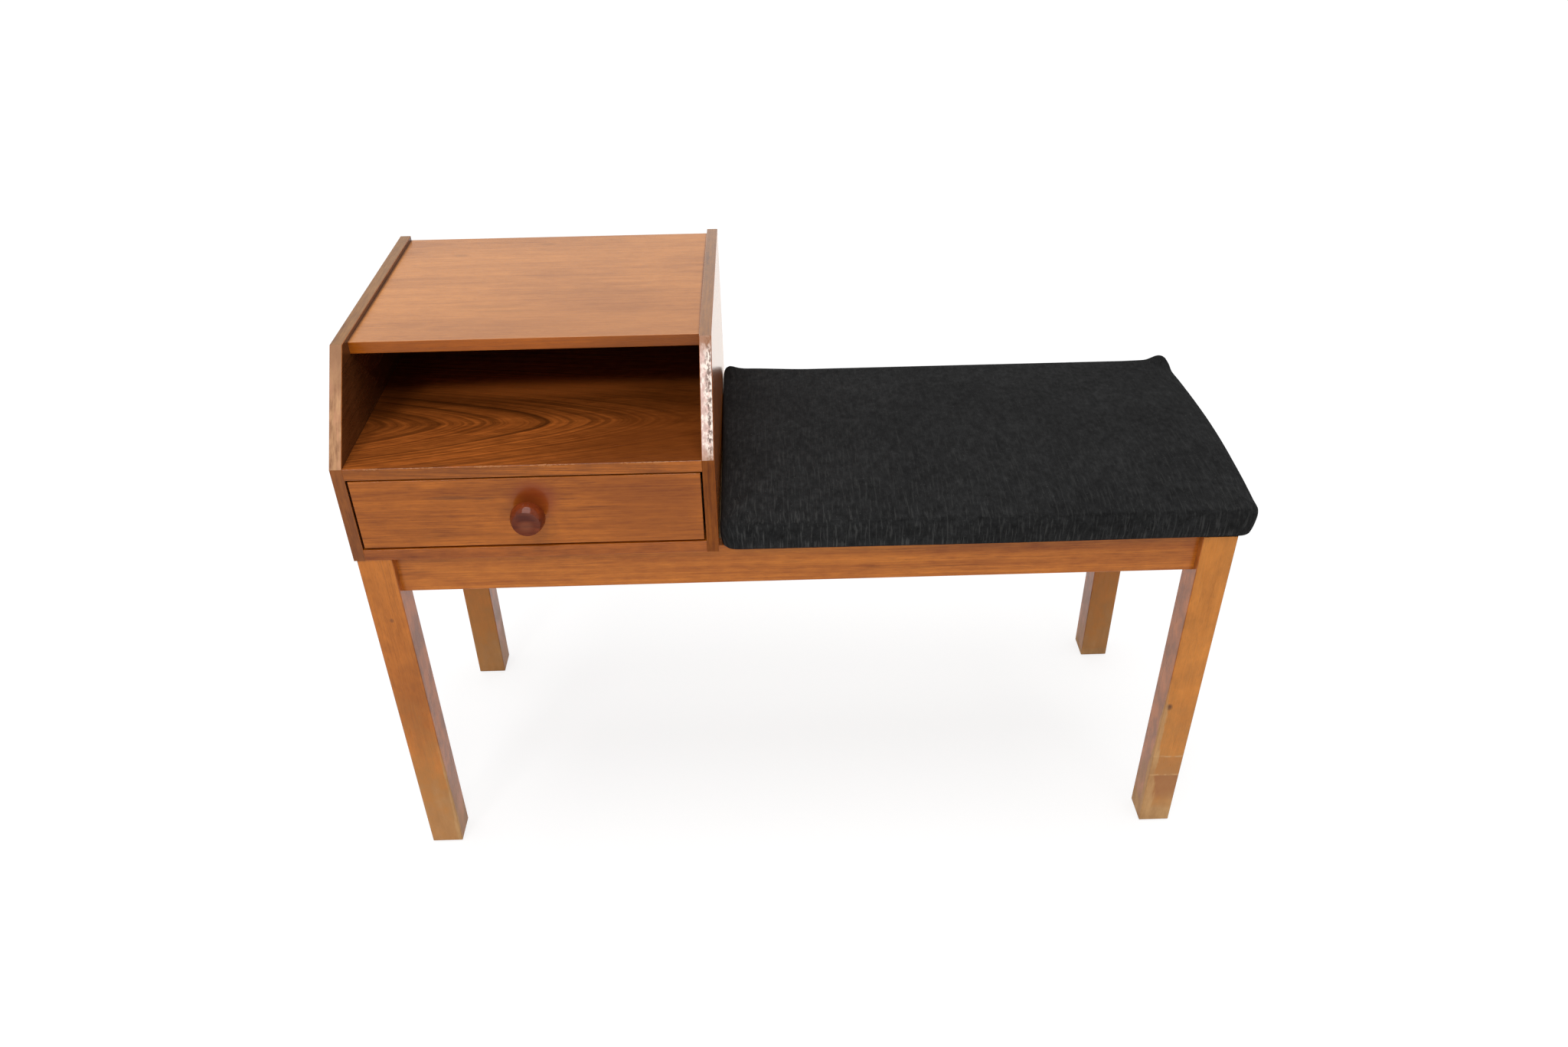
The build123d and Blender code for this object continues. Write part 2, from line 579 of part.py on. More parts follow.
def seat_board():
    """The plywood board under the foam."""
    face = seat_outline(BOARD_INSET, BOARD_LOW)
    board = extrude(face, BOARD_THICKNESS, dir=(0, 0, 1))
    return fillet(board.edges().filter_by(Axis.Z), BOARD_CORNER)


def seat_parts():
    board = seat_board()
    core = seat_form(COVER_THICKNESS)
    opening_inset = BOARD_INSET + COVER_TURN_WIDTH
    opening = extrude(seat_outline(opening_inset, FRAME_HEIGHT), COVER_THICKNESS, dir=(0, 0, 1))
    places = block_screw_places()[2:] + bearer_screw_places()[2:]
    screws = [place * wood_screw() for place in places]
    return {
        "seat_board": cut(board, screws),
        "seat_foam": core - board,
        "seat_cover": seat_form(0.0) - core - opening,
        "seat_screws": group(screws),
    }


def main():
    parts = frame_parts() | cabinet_parts() | drawer_parts() | seat_parts()
    os.makedirs("parts", exist_ok=True)
    for name, solid in parts.items():
        export_step(Pos(-ORIGIN_X, -ORIGIN_Y, 0) * solid, os.path.join("parts", name + ".step"))


main()
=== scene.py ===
import math
import random

import bmesh
import bpy
from mathutils import Matrix, Vector


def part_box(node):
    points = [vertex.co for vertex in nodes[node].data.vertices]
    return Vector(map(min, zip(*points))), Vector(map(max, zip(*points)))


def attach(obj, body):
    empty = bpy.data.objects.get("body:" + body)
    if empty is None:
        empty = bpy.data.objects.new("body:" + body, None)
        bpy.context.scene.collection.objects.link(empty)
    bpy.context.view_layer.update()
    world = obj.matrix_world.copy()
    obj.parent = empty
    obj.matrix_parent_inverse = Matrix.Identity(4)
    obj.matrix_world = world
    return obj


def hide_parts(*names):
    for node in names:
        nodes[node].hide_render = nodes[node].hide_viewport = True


# Looks of a telephone bench: lacquered wood with its grain, a woven seat cover, small fasteners,
# studio light, floor and camera. Metres; +X to the right, +Y to the back, +Z up.

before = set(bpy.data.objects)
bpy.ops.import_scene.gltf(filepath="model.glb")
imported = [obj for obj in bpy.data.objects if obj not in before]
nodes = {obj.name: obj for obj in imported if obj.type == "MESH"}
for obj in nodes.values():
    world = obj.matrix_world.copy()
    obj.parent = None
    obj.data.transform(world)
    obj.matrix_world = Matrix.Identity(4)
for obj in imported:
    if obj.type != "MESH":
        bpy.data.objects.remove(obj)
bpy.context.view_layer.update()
MM = 0.001


# ---- Node trees ----
AXES = {"x": (1, 0, 0), "y": (0, 1, 0), "z": (0, 0, 1)}
MIX_SOCKETS = {"FLOAT": (2, 3, 0), "VECTOR": (4, 5, 1), "RGBA": (6, 7, 2)}      # A, B and result
FLAT, ROUNDED = 0.9, 0.6        # cosines: of a flat face, and of one with its rounded corners
SPOT_CORE = 0.25                # share of a spot's size that has its full strength


def colour(value):
    """A colour with its alpha, from three numbers, one grey number or a socket."""
    if isinstance(value, (int, float)):
        value = (value, value, value)
    if isinstance(value, tuple) and len(value) == 3:
        value = (*value, 1.0)
    return value


def scaled(shade, factor):
    return tuple(part * factor for part in shade)


class Tree:
    """A material's node tree, built by calls that return output sockets."""

    def __init__(self, name):
        self.material = bpy.data.materials.new(name)
        self.material.use_nodes = True
        self.tree = self.material.node_tree
        self.tree.nodes.clear()
        self.out = self.tree.nodes.new("ShaderNodeOutputMaterial")
        coords = self.tree.nodes.new("ShaderNodeTexCoord")
        self.place, self.normal = coords.outputs["Object"], coords.outputs["Normal"]

    def put(self, socket, value):
        if isinstance(value, bpy.types.NodeSocket):
            self.tree.links.new(value, socket)
        elif value is not None:
            socket.default_value = value

    def node(self, kind, values, output=0, **settings):
        made = self.tree.nodes.new("ShaderNode" + kind)
        for key, value in settings.items():
            setattr(made, key, value)
        for key, value in values.items():
            self.put(made.inputs[key], value)
        return made.outputs[output]

    def math(self, operation, a, b=None):
        return self.node("Math", {0: a, 1: b}, operation=operation)

    def add(self, a, b):
        return self.math("ADD", a, b)

    def less(self, a, b):
        return self.math("SUBTRACT", a, b)

    def times(self, a, b):
        return self.math("MULTIPLY", a, b)

    def divide(self, a, b):
        return self.math("DIVIDE", a, b)

    def larger(self, a, b):
        return self.math("MAXIMUM", a, b)

    def over(self, value, limit):
        """1 where the value is over the limit, and 0 elsewhere."""
        return self.math("GREATER_THAN", value, limit)

    def size(self, a):
        return self.math("ABSOLUTE", a)

    def vector(self, operation, a, b, output=0):
        return self.node("VectorMath", {0: a, 1: b}, output, operation=operation)

    def dot(self, a, b):
        return self.vector("DOT_PRODUCT", a, b, output="Value")

    def along(self, axis):
        """The place along one axis, or along a direction."""
        return self.dot(self.place, AXES.get(axis, axis))

    def combine(self, x, y, z):
        return self.node("CombineXYZ", {0: x, 1: y, 2: z})

    def split(self, vector):
        return self.node("SeparateXYZ", {0: vector}).node.outputs

    def noise(self, vector, scale=1.0, detail=2.0, roughness=0.5):
        values = {"Vector": vector, "Scale": scale, "Detail": detail, "Roughness": roughness}
        return self.node("TexNoise", values)

    def place_noise(self, scales, detail=2.0, roughness=0.5):
        """Noise over the place, with a scale for each axis."""
        return self.noise(self.vector("MULTIPLY", self.place, scales), 1.0, detail, roughness)

    def plane_noise(self, a, b, scales, offset=0.0, detail=2.0, roughness=0.5):
        """Noise over two measures, with a scale for each; the offset picks one of many patterns."""
        at = self.combine(self.times(a, scales[0]), self.times(b, scales[1]), offset)
        return self.noise(at, 1.0, detail, roughness)

    def stretch(self, value, low, high, to_low=0.0, to_high=1.0, smooth=False):
        values = {"Value": value, "From Min": low, "From Max": high,
                  "To Min": to_low, "To Max": to_high}
        kind = "SMOOTHSTEP" if smooth else "LINEAR"
        return self.node("MapRange", values, interpolation_type=kind, clamp=True)

    def mixed(self, data_type, factor, a, b, **settings):
        first, second, result = MIX_SOCKETS[data_type]
        values = {0: factor, first: a, second: b}
        return self.node("Mix", values, result, data_type=data_type, **settings)

    def mix(self, factor, a, b, blend="MIX"):
        return self.mixed("RGBA", factor, colour(a), colour(b), blend_type=blend)

    def multiply(self, shade, tint):
        return self.mix(1.0, shade, tint, "MULTIPLY")

    def ramp(self, value, stops):
        made = self.tree.nodes.new("ShaderNodeValToRGB")
        ramp = made.color_ramp
        while len(ramp.elements) < len(stops):
            ramp.elements.new(0.5)
        for element, (place, shade) in zip(ramp.elements, stops):
            element.position = place
            element.color = colour(shade)
        self.put(made.inputs[0], value)
        return made.outputs[0]

    def facing(self, axis, side, limit=FLAT):
        """1 on faces that look to one side of an axis, and 0 elsewhere."""
        return self.over(self.times(self.dot(self.normal, AXES[axis]), side), limit)

    def bump(self, height, distance, normal=None):
        values = {"Height": height, "Strength": 1.0, "Distance": distance, "Normal": normal}
        return self.node("Bump", values)

    def spot(self, across, up, middle, size):
        """An oval spot, 1 in its middle and 0 outside."""
        a = self.divide(self.less(across, middle[0]), size[0])
        b = self.divide(self.less(up, middle[1]), size[1])
        distance = self.math("SQRT", self.add(self.times(a, a), self.times(b, b)))
        return self.stretch(distance, SPOT_CORE, 1.0, 1.0, 0.0, smooth=True)

    def surface(self, **values):
        """Ends the tree in one principled surface; numbers are set on its own sockets."""
        shader = self.tree.nodes.new("ShaderNodeBsdfPrincipled")
        for key, value in values.items():
            is_colour = "Color" in key or "Tint" in key
            self.put(shader.inputs[key.replace("_", " ")], colour(value) if is_colour else value)
        self.tree.links.new(shader.outputs[0], self.out.inputs[0])
        return self.material


def dress(material, *names):
    """Gives CAD nodes one material."""
    for name in names:
        mesh = nodes[name].data
        mesh.materials.clear()
        mesh.materials.append(material)


# ---- Wood ----
COAT_ROUGHNESS, COAT_TINT = 0.20, (1.0, 0.90, 0.78)
SEED_STEPS = (7.3, 3.1)         # how far a seed moves the grain along and across itself
BROAD, FINE = (0.30, 0.70), (0.28, 0.72)        # noise values that become 0 and 1
STREAK_SHADE, PORE_SHADE = 0.35, 0.40           # of the dark tone
PORE_STRENGTH = 0.30


def grain_space(tree, along, face, lipped):
    """Coordinates (along the grain, across it, depth) and a mask of the narrow edges.

    A veneered board has its grain along one axis on its two faces; its edges are lipped with
    strips whose grain follows each edge. Solid wood has one grain direction all over.
    """
    across = next(axis for axis in "xyz" if axis not in (along, face))
    on_face = tree.combine(tree.along(along), tree.along(across), tree.along(face))
    edge = tree.math("LESS_THAN", tree.size(tree.dot(tree.normal, AXES[face])), ROUNDED)
    if not lipped:
        return on_face, edge
    run = tree.vector("CROSS_PRODUCT", AXES[face], tree.normal)
    on_edge = tree.combine(tree.dot(tree.place, run), tree.along(face),
                           tree.dot(tree.place, tree.normal))
    return tree.mixed("VECTOR", edge, on_face, on_edge), edge


def wood(name, along, face, dark, light, lipped=False, seed=0.0, edge_tint=None, rough=0.24,
         wander=0.006, band=90.0, line=430.0, weights=(0.2, 0.3, 0.25, 0.3, 0.2), dashes=0.3,
         tongues=None, marks=(), marked=None, tints=(), overlay=None, sparkle=None, specular=0.28,
         coat=0.0, relief=0.02):
    """Lacquered wood: growth bands, fine lines, short dark dashes and pores, all drawn out along
    the grain, over a slow drift of tone. weights are those of bands, lines, drift, mottle and
    fibres. marks are oval spots (middle, size, strength, colour) on all faces, or on those that
    look to the side that marked names: stains, and on some pieces painted shade and light. tints
    are colours for the faces that look one way, some of them painted shade and painted light. The
    overlay and sparkle functions lay a piece's own worn places, painted shade and light, and
    painted glare over the wood, and relief is the depth of its grain in millimetres."""
    tree = Tree(name)
    grain, edge = grain_space(tree, along, face, lipped)
    plain_length, plain_width, depth = tree.split(grain)
    sway = tree.plane_noise(plain_length, plain_width, (2.4, 9.0), seed)
    width = tree.add(plain_width, tree.times(tree.less(sway, 0.5), wander))

    def drawn(along_scale, across_scale, detail=2.0, roughness=0.55):
        at = tree.combine(tree.add(tree.times(plain_length, along_scale), seed * SEED_STEPS[0]),
                          tree.add(tree.times(width, across_scale), seed * SEED_STEPS[1]),
                          tree.times(depth, across_scale))
        return tree.noise(at, 1.0, detail, roughness)

    lines = tree.stretch(drawn(11.0, line, 4.0, 0.65), *FINE)
    bands = tree.stretch(drawn(2.4, band, 3.0), *BROAD)
    drift = tree.stretch(drawn(5.0, 15.0), *BROAD)
    mottle = tree.stretch(drawn(55.0, 130.0, 3.0, 0.6), *FINE)
    fibres = tree.stretch(drawn(50.0, 820.0), *FINE)
    tone = 0.0
    for layer, weight in zip((bands, lines, drift, mottle, fibres), weights):
        tone = tree.add(tone, tree.times(layer, weight / sum(weights)))
    shade = tree.mix(tree.stretch(tone, 0.20, 0.80), dark, light)
    if tongues:
        shade = tree.multiply(shade, tongues(tree, plain_length, plain_width))

    streaks = tree.stretch(drawn(26.0, 620.0, 1.0), 0.58, 0.70)
    streaks = tree.times(streaks, tree.stretch(drawn(7.0, 40.0, 1.0), 0.42, 0.62))
    shade = tree.mix(tree.times(streaks, dashes), shade, scaled(dark, STREAK_SHADE))
    pores = tree.stretch(drawn(120.0, 2100.0, 1.0), 0.60, 0.72)
    shade = tree.mix(tree.times(pores, PORE_STRENGTH), shade, scaled(dark, PORE_SHADE))
    shown = tree.facing(*marked) if marked else 1.0
    for middle, size, strength, mark_colour in marks:
        spot = tree.times(tree.spot(plain_length, plain_width, middle, size), shown)
        shade = tree.mix(tree.times(spot, strength), shade, mark_colour)
    if edge_tint:
        shade = tree.multiply(shade, tree.mix(edge, 1.0, edge_tint))
    for axis, side, tint in tints:
        shade = tree.multiply(shade, tree.mix(tree.facing(axis, side), 1.0, tint))

    gloss = tree.stretch(lines, 0.0, 1.0, rough * 1.15, rough * 0.85)
    height = tree.less(tree.times(lines, 0.6), tree.times(pores, 0.7))
    bump = tree.bump(height, relief * MM)
    if overlay:
        shade, gloss = overlay(tree, shade, gloss)
    if sparkle:
        shade, gloss, bump = sparkle(tree, shade, gloss, bump)
    if coat:                    # rubbed off the front edges
        coat = tree.times(tree.less(1.0, tree.facing("y", -1, ROUNDED)), coat)
    return tree.surface(Base_Color=shade, Roughness=gloss, Normal=bump, Specular_IOR_Level=specular,
                        Coat_Weight=coat, Coat_Roughness=COAT_ROUGHNESS, Coat_Tint=COAT_TINT)


# ---- Growth rings of the shelf ----
TONGUE_MIDDLE = -0.0855         # the line in y that the tongues point along
TONGUE_WIDTH, TONGUE_DRAW, TONGUE_POWER = 0.040, 0.088, 1.6     # 88 mm back at 40 mm aside
TONGUE_SWAY = 0.017
TONGUE_TIPS = ((-0.367, 0.55), (-0.307, 0.28), (-0.282, 0.25), (-0.255, 0.60), (-0.212, 0.22),
               (-0.169, 0.24), (-0.120, 0.16), (-0.050, 0.20), (0.045, 0.22), (0.160, 0.20))
TIP_PROFILE = ((-0.013, 0.25), (0.0, 1.0), (0.0035, 0.0))       # places about a tip, and depths
RAMP_MARGIN = 0.03
RINGS_FADE, RINGS_SHOWN = (-0.22, -0.10), (0.50, 0.18)      # strength of the fine rings over x


def shelf_tongues(tree, length, width):
    """Growth rings cut nearly flat: nested tongues that point along the grain, their arms
    drawn out to long lines on both sides of the middle. Gives a tone from 0 to 1. TONGUE_TIPS
    holds each tip's place along the middle line, and how dark it is."""
    sway = tree.plane_noise(length, width, (9.0, 22.0), 0.0, 3.0)
    aside = tree.size(tree.less(width, TONGUE_MIDDLE))
    aside = tree.math("POWER", tree.times(aside, 1 / TONGUE_WIDTH), TONGUE_POWER)
    place = tree.add(length, tree.times(aside, TONGUE_DRAW))
    place = tree.add(place, tree.times(tree.less(sway, 0.5), TONGUE_SWAY))
    low, high = TONGUE_TIPS[0][0] - RAMP_MARGIN, TONGUE_TIPS[-1][0] + RAMP_MARGIN
    stops = []
    for tip, depth in TONGUE_TIPS:
        for offset, share in TIP_PROFILE:
            stops.append(((tip + offset - low) / (high - low), 1.0 - depth * share))
    tone = tree.ramp(tree.stretch(place, low, high), stops)
    fine = tree.plane_noise(place, width, (135.0, 9.0), 0.0, 3.0, 0.6)
    fading = tree.stretch(length, *RINGS_FADE, *RINGS_SHOWN)
    rings = tree.times(tree.stretch(fine, 0.40, 0.62, 1.0, 0.0), fading)
    return tree.mix(rings, tone, 0.0)


# ---- Wear of the legs, with a painted highlight along two front edges ----
LEG_YELLOWED = (0.52, 0.22, 0.045)
LEG_SIDE_DARK, LEG_SIDE_PALE = (0.20, 0.050, 0.010), (0.48, 0.135, 0.024)
WORN_DARK, WORN_PALE = (0.41, 0.200, 0.070), (0.63, 0.36, 0.150)
FOOT_DIRT = (0.20, 0.10, 0.045)
RUB_PATCH = (0.36, 0.135, 0.042)
YELLOWED, DULLED = (0.06, 0.24), (0.02, 0.10)   # heights: full below the first, none above the next
BLOTCH_SHIFT = 0.22             # how far blotches move a level up and down
FOOT_FADE = 0.012               # height over which a pale foot ends
STRIP_FOOT, STRIP_FADE = 0.02, 0.05     # height of a strip's full width, and over which it ends
DIRT_HEIGHT = 0.004
RIPPLE = 0.004                  # of the rubbed lines
LINE_WIDTHS = (0.0006, 0.0018)  # from a rubbed line's middle: still pale, and sound again
PATCH_FOOT = (0.034, 0.046)     # heights over which the browner wood sets in


def leg_wear_and_highlight(name, worn_side=0, worn_below=0.0, widths=(0.003, 0.003), pale_foot=0.0,
             rubbed_lines=()):
    """Wear of one leg: a pale strip where the lacquer is gone along a front edge, which is also a
    painted highlight of that edge (worn_side is its side in x), as wide as widths at worn_below
    and near the floor, a yellowed lower half, a dull foot, which can be pale up to pale_foot, and
    blotchy grey-brown sides."""
    low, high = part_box(name)
    edge = high[0] if worn_side > 0 else low[0]

    def overlay(tree, shade, gloss):
        height = tree.along("z")
        patches = tree.place_noise((60.0, 60.0, 16.0), 4.0, 0.65)
        blotches = tree.place_noise((45.0, 45.0, 30.0), 4.0, 0.6)
        side = tree.over(tree.size(tree.dot(tree.normal, AXES["x"])), ROUNDED)
        uneven = tree.add(height, tree.times(tree.less(blotches, 0.5), BLOTCH_SHIFT))
        yellowed = tree.stretch(uneven, *YELLOWED, 0.75, 0.0, smooth=True)
        shade = tree.mix(tree.times(yellowed, tree.less(1.0, side)), shade, LEG_YELLOWED)
        shade = tree.multiply(shade, tree.mix(tree.stretch(blotches, 0.35, 0.65), 0.88, 1.08))
        grey = tree.mix(tree.stretch(blotches, 0.38, 0.62), LEG_SIDE_DARK, LEG_SIDE_PALE)
        shade = tree.mix(side, shade, tree.mix(0.75, shade, grey))
        worn = tree.stretch(uneven, *DULLED, 0.45, 0.0, smooth=True)
        if pale_foot:
            ragged = tree.add(height, tree.times(patches, 0.016))
            foot = tree.stretch(ragged, pale_foot, pale_foot + FOOT_FADE, 1.0, 0.0)
            worn = tree.larger(worn, foot)
        # The pale strip along a front edge is worn lacquer and also a painted highlight where that
        # edge catches the light.
        if worn_side:
            from_edge = tree.larger(tree.size(tree.less(tree.along("x"), edge)),
                                    tree.size(tree.less(tree.along("y"), low[1])))
            width = tree.stretch(height, STRIP_FOOT, worn_below, widths[1], widths[0])
            width = tree.times(width, tree.stretch(patches, 0.3, 0.65, 0.35, 1.25))
            strip = tree.stretch(tree.divide(from_edge, width), 0.55, 1.0, 1.0, 0.0, smooth=True)
            ending = tree.stretch(height, worn_below - STRIP_FADE, worn_below, 1.0, 0.0)
            worn = tree.larger(worn, tree.times(tree.times(strip, ending), 0.9))
        bared = tree.mix(tree.stretch(patches, 0.3, 0.7), WORN_DARK, WORN_PALE)
        shade = tree.mix(worn, shade, bared)
        if rubbed_lines:
            shade = rub_lines(tree, shade, height, rubbed_lines, worn)
        dirt = tree.stretch(height, 0.0, DIRT_HEIGHT, 0.6, 0.0)
        shade = tree.mix(dirt, shade, FOOT_DIRT)
        return shade, tree.add(gloss, tree.times(worn, 0.3))
    return overlay


def rub_lines(tree, shade, height, lines, worn):
    """Two pale level lines across the front of the leg, and browner wood from there down."""
    ripple = tree.times(tree.noise(tree.place, 45.0), RIPPLE)
    level = tree.less(tree.add(height, ripple), RIPPLE / 2)
    front = tree.facing("y", -1, ROUNDED)
    sound = tree.times(tree.less(1.0, worn), front)
    upper, lower = lines
    below_lower = tree.stretch(level, lower - MM, lower, 1.0, 0.3)
    below_upper = tree.stretch(level, upper - MM, upper, 1.0, 0.0)
    patch = tree.times(tree.stretch(level, *PATCH_FOOT), below_lower)
    patch = tree.times(patch, below_upper)
    shade = tree.mix(tree.times(tree.times(patch, sound), 0.85), shade, RUB_PATCH)
    gaps = tree.stretch(tree.noise(tree.place, 160.0, 1.0), 0.38, 0.5, 0.3, 1.0)
    for line in lines:
        distance = tree.size(tree.less(level, line))
        pale = tree.times(tree.stretch(distance, *LINE_WIDTHS, 0.65, 0.0), front)
        shade = tree.mix(tree.times(pale, gaps), shade, WORN_PALE)
    return shade


# ---- Wear of the shelf, and painted shade and light on the knob ----
RUBBED_ARRIS = (0.60, 0.28, 0.09)
ARRIS_SOUND, ARRIS_RUBBED = 0.0003, 0.0018      # width of the corner itself, and what rubbing adds
# Painted shade under the knob's upper rim and painted light on its lower dish: place from its
# middle and size, in x and z, strength and colour.
DISH_SPOTS = (((-0.001, 0.0065), (0.013, 0.0065), 0.75, (0.075, 0.008, 0.002)),
              ((-0.001, -0.0035), (0.010, 0.0080), 0.32, (0.32, 0.105, 0.048)))


def arris_wear(tree, shade, gloss):
    """The shelf's upper front corner is rubbed pale in short stretches."""
    low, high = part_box("cabinet_shelf")
    from_arris = tree.larger(tree.less(tree.along("y"), low[1]),
                             tree.less(high[2], tree.along("z")))
    stretches = tree.place_noise((34.0, 8.0, 8.0))
    specks = tree.place_noise((240.0, 420.0, 420.0), 3.0, 0.6)
    width = tree.add(tree.times(tree.stretch(stretches, 0.46, 0.66), ARRIS_RUBBED), ARRIS_SOUND)
    width = tree.times(width, tree.stretch(specks, 0.42, 0.60, 0.2, 1.3))
    rubbed = tree.stretch(tree.divide(from_arris, width), 0.4, 1.0, 0.28, 0.0)
    return tree.mix(rubbed, shade, RUBBED_ARRIS), tree.add(gloss, tree.times(rubbed, 0.2))


def dish_shading(tree, shade, gloss):
    """The knob's dish: painted shade under its upper rim, and painted light lower down, where it
    faces the lamps and the floor.
    """
    low, high = (Vector(corner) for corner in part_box("drawer_knob"))
    middle = (low + high) / 2
    x, z = tree.along("x"), tree.along("z")
    for (right, up), size, strength, mark_colour in DISH_SPOTS:
        spot = tree.spot(x, z, (middle.x + right, middle.z + up), size)
        shade = tree.mix(tree.times(spot, strength), shade, mark_colour)
    return shade, gloss


# ---- Wear and painted glare of the sides' leaning edges ----
SLANT_BACK, SLANT_RISE = 76.5, 92.5             # millimetres
SLANT_NORMAL = tuple(Vector((0.0, -SLANT_RISE, SLANT_BACK)).normalized())
SLANT_RUN = tuple(Vector((0.0, SLANT_BACK, SLANT_RISE)).normalized())
SLANT_ALIKE = 0.97              # cosine that sets the leaning faces apart from their neighbours
SLANT_FOOT = 0.524              # height of their lower end
SLANT_DARK, SLANT_PALE, SLANT_RED = (0.19, 0.075, 0.028), (0.61, 0.335, 0.162), (0.47, 0.21, 0.115)
SLANT_END = (0.27, 0.130, 0.060)
# Painted glare of the lamps on the right side's leaning edge, rose and cream, with its open pores
# and brown ends.
GLARE_ROSE, GLARE_CREAM = (0.69, 0.475, 0.415), (0.93, 0.79, 0.70)
OPEN_PORES, BROWN_ENDS = (0.22, 0.150, 0.125), (0.33, 0.150, 0.075)
PORE_LINE = 0.72                # across the edge, where most pores lie open
PIT_DEPTH = 0.20 * MM
DULL_END = (0.006, 0.052)       # from an end: brown up to the first, worn beyond the next
SOUND_END, SOUND_FOOT = (0.009, 0.019), (0.004, 0.016)      # the same on the right side


def leaning_faces(tree):
    return tree.over(tree.dot(tree.normal, SLANT_NORMAL), SLANT_ALIKE)


def slant_dull(tree, shade, gloss, bump):
    """The left side's leaning edge is worn to a dull tan, streaked along its length; the tan is in
    part a painted highlight.
    """
    leaning = leaning_faces(tree)
    streaks = tree.place_noise((420.0, 45.0, 45.0), 4.0, 0.65)
    patches = tree.place_noise((130.0, 70.0, 70.0), 3.0)
    reds = tree.place_noise((200.0, 40.0, 40.0))
    tone = tree.add(tree.times(tree.stretch(streaks, 0.34, 0.66), 0.5),
                    tree.times(tree.stretch(patches, 0.34, 0.66), 0.5))
    worn = tree.mix(tone, SLANT_DARK, SLANT_PALE)
    worn = tree.mix(tree.stretch(reds, 0.50, 0.66, 0.0, 0.55), worn, SLANT_RED)
    from_end = tree.less(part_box("cabinet_side_left")[1][2], tree.along("z"))
    worn = tree.mix(tree.stretch(from_end, *DULL_END, 0.85, 0.0), worn, SLANT_END)
    shade = tree.mix(tree.times(leaning, 0.92), shade, worn)
    return shade, tree.stretch(leaning, 0.0, 1.0, gloss, 0.5), bump


def slant_glare(tree, shade, gloss, bump):
    """The right side's leaning edge is painted with the pale glare of the lamps: rosy towards the
    inside, cream towards the outside, with dark open pores outside its middle and sound brown wood
    at both ends."""
    leaning = leaning_faces(tree)
    low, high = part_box("cabinet_side_right")
    across = tree.stretch(tree.along("x"), low[0], high[0])
    run = tree.along(SLANT_RUN)
    pits = tree.plane_noise(across, run, (5.0, 190.0), 0.0, 4.0, 0.65)
    blotches = tree.plane_noise(across, run, (2.6, 120.0), 5.0, 3.0, 0.6)
    outward = tree.add(blotches, tree.times(tree.less(across, 0.5), 0.22))
    glare = tree.mix(tree.stretch(outward, 0.42, 0.58), GLARE_ROSE, GLARE_CREAM)
    off_line = tree.size(tree.less(across, PORE_LINE))
    sunk = tree.times(tree.stretch(pits, 0.465, 0.56),
                      tree.stretch(off_line, 0.10, 0.36, 1.0, 0.24))
    glare = tree.mix(sunk, glare, OPEN_PORES)
    from_end = tree.less(high[2], tree.along("z"))
    end = tree.stretch(tree.add(from_end, tree.times(blotches, 0.010)), *SOUND_END, 0.90, 0.0)
    from_foot = tree.less(tree.along("z"), SLANT_FOOT)
    foot = tree.stretch(tree.add(from_foot, tree.times(blotches, 0.006)), *SOUND_FOOT, 0.70, 0.0)
    glare = tree.mix(tree.larger(end, foot), glare, BROWN_ENDS)
    shade = tree.mix(leaning, shade, glare)
    shine = tree.stretch(sunk, 0.0, 1.0, 0.34, 0.65)
    gloss = tree.add(tree.times(tree.less(1.0, leaning), gloss), tree.times(leaning, shine))
    pitted = tree.bump(tree.times(tree.less(1.0, sunk), leaning), PIT_DEPTH, bump)
    return shade, gloss, pitted


# ---- Cabinet ----
VENEER_DARK, VENEER_LIGHT = (0.21, 0.046, 0.003), (0.56, 0.160, 0.014)
TOP_DARK, TOP_LIGHT = (0.325, 0.125, 0.043), (0.590, 0.246, 0.075)
SHELF_DARK, SHELF_LIGHT = (0.17, 0.040, 0.006), (0.43, 0.115, 0.019)
TOP_EDGE = (0.92, 0.56, 0.05)
SHELF_EDGE = (1.50, 1.55, 0.70)
BOTTOM_EDGE = (0.89, 0.83, 0.85)
SIDE_EDGE, RIGHT_EDGE = (0.64, 0.66, 0.85), (0.60, 0.57, 0.40)
SIDE_TOP = (0.90, 1.36, 2.80)
# Painted shade: a tint that darkens the sides' inner faces, where little light reaches inside the
# cabinet.
INNER_FACE_SHADE = (0.30, 0.36, 1.30)
# Painted light: a tint that lightens the right side's outer face, for the light and glare it gets
# above the seat.
OUTER_FACE_LIGHT = (1.90, 2.05, 3.20)
KNOT_STAIN, STREAK_STAIN = (0.22, 0.10, 0.035), (0.24, 0.10, 0.035)
SEAM_DARK = (0.12, 0.045, 0.018)       # a dark line on the top beside its two ends, where it meets the sides

# Marks: middle along and across the grain, size, strength and colour. Those of the top are
# stains, dark lines beside its two ends and darker patches; the last one lies on its front edge,
# where across is up.
TOP_MARKS = (((-0.373, 0.138), (0.012, 0.006), 0.30, KNOT_STAIN),
             ((-0.281, 0.166), (0.014, 0.005), 0.25, KNOT_STAIN),
             ((-0.315, 0.000), (0.060, 0.005), 0.25, STREAK_STAIN),
             ((-0.300, -0.012), (0.045, 0.004), 0.22, STREAK_STAIN),
             ((-0.1015, 0.060), (0.0030, 0.220), 0.75, SEAM_DARK),
             ((-0.4395, 0.060), (0.0030, 0.220), 0.75, SEAM_DARK),
             ((-0.200, -0.100), (0.300, 0.200), 0.35, scaled(TOP_DARK, 0.95)),
             ((-0.120, 0.600), (0.150, 0.030), 0.40, scaled(TOP_DARK, 0.6)))
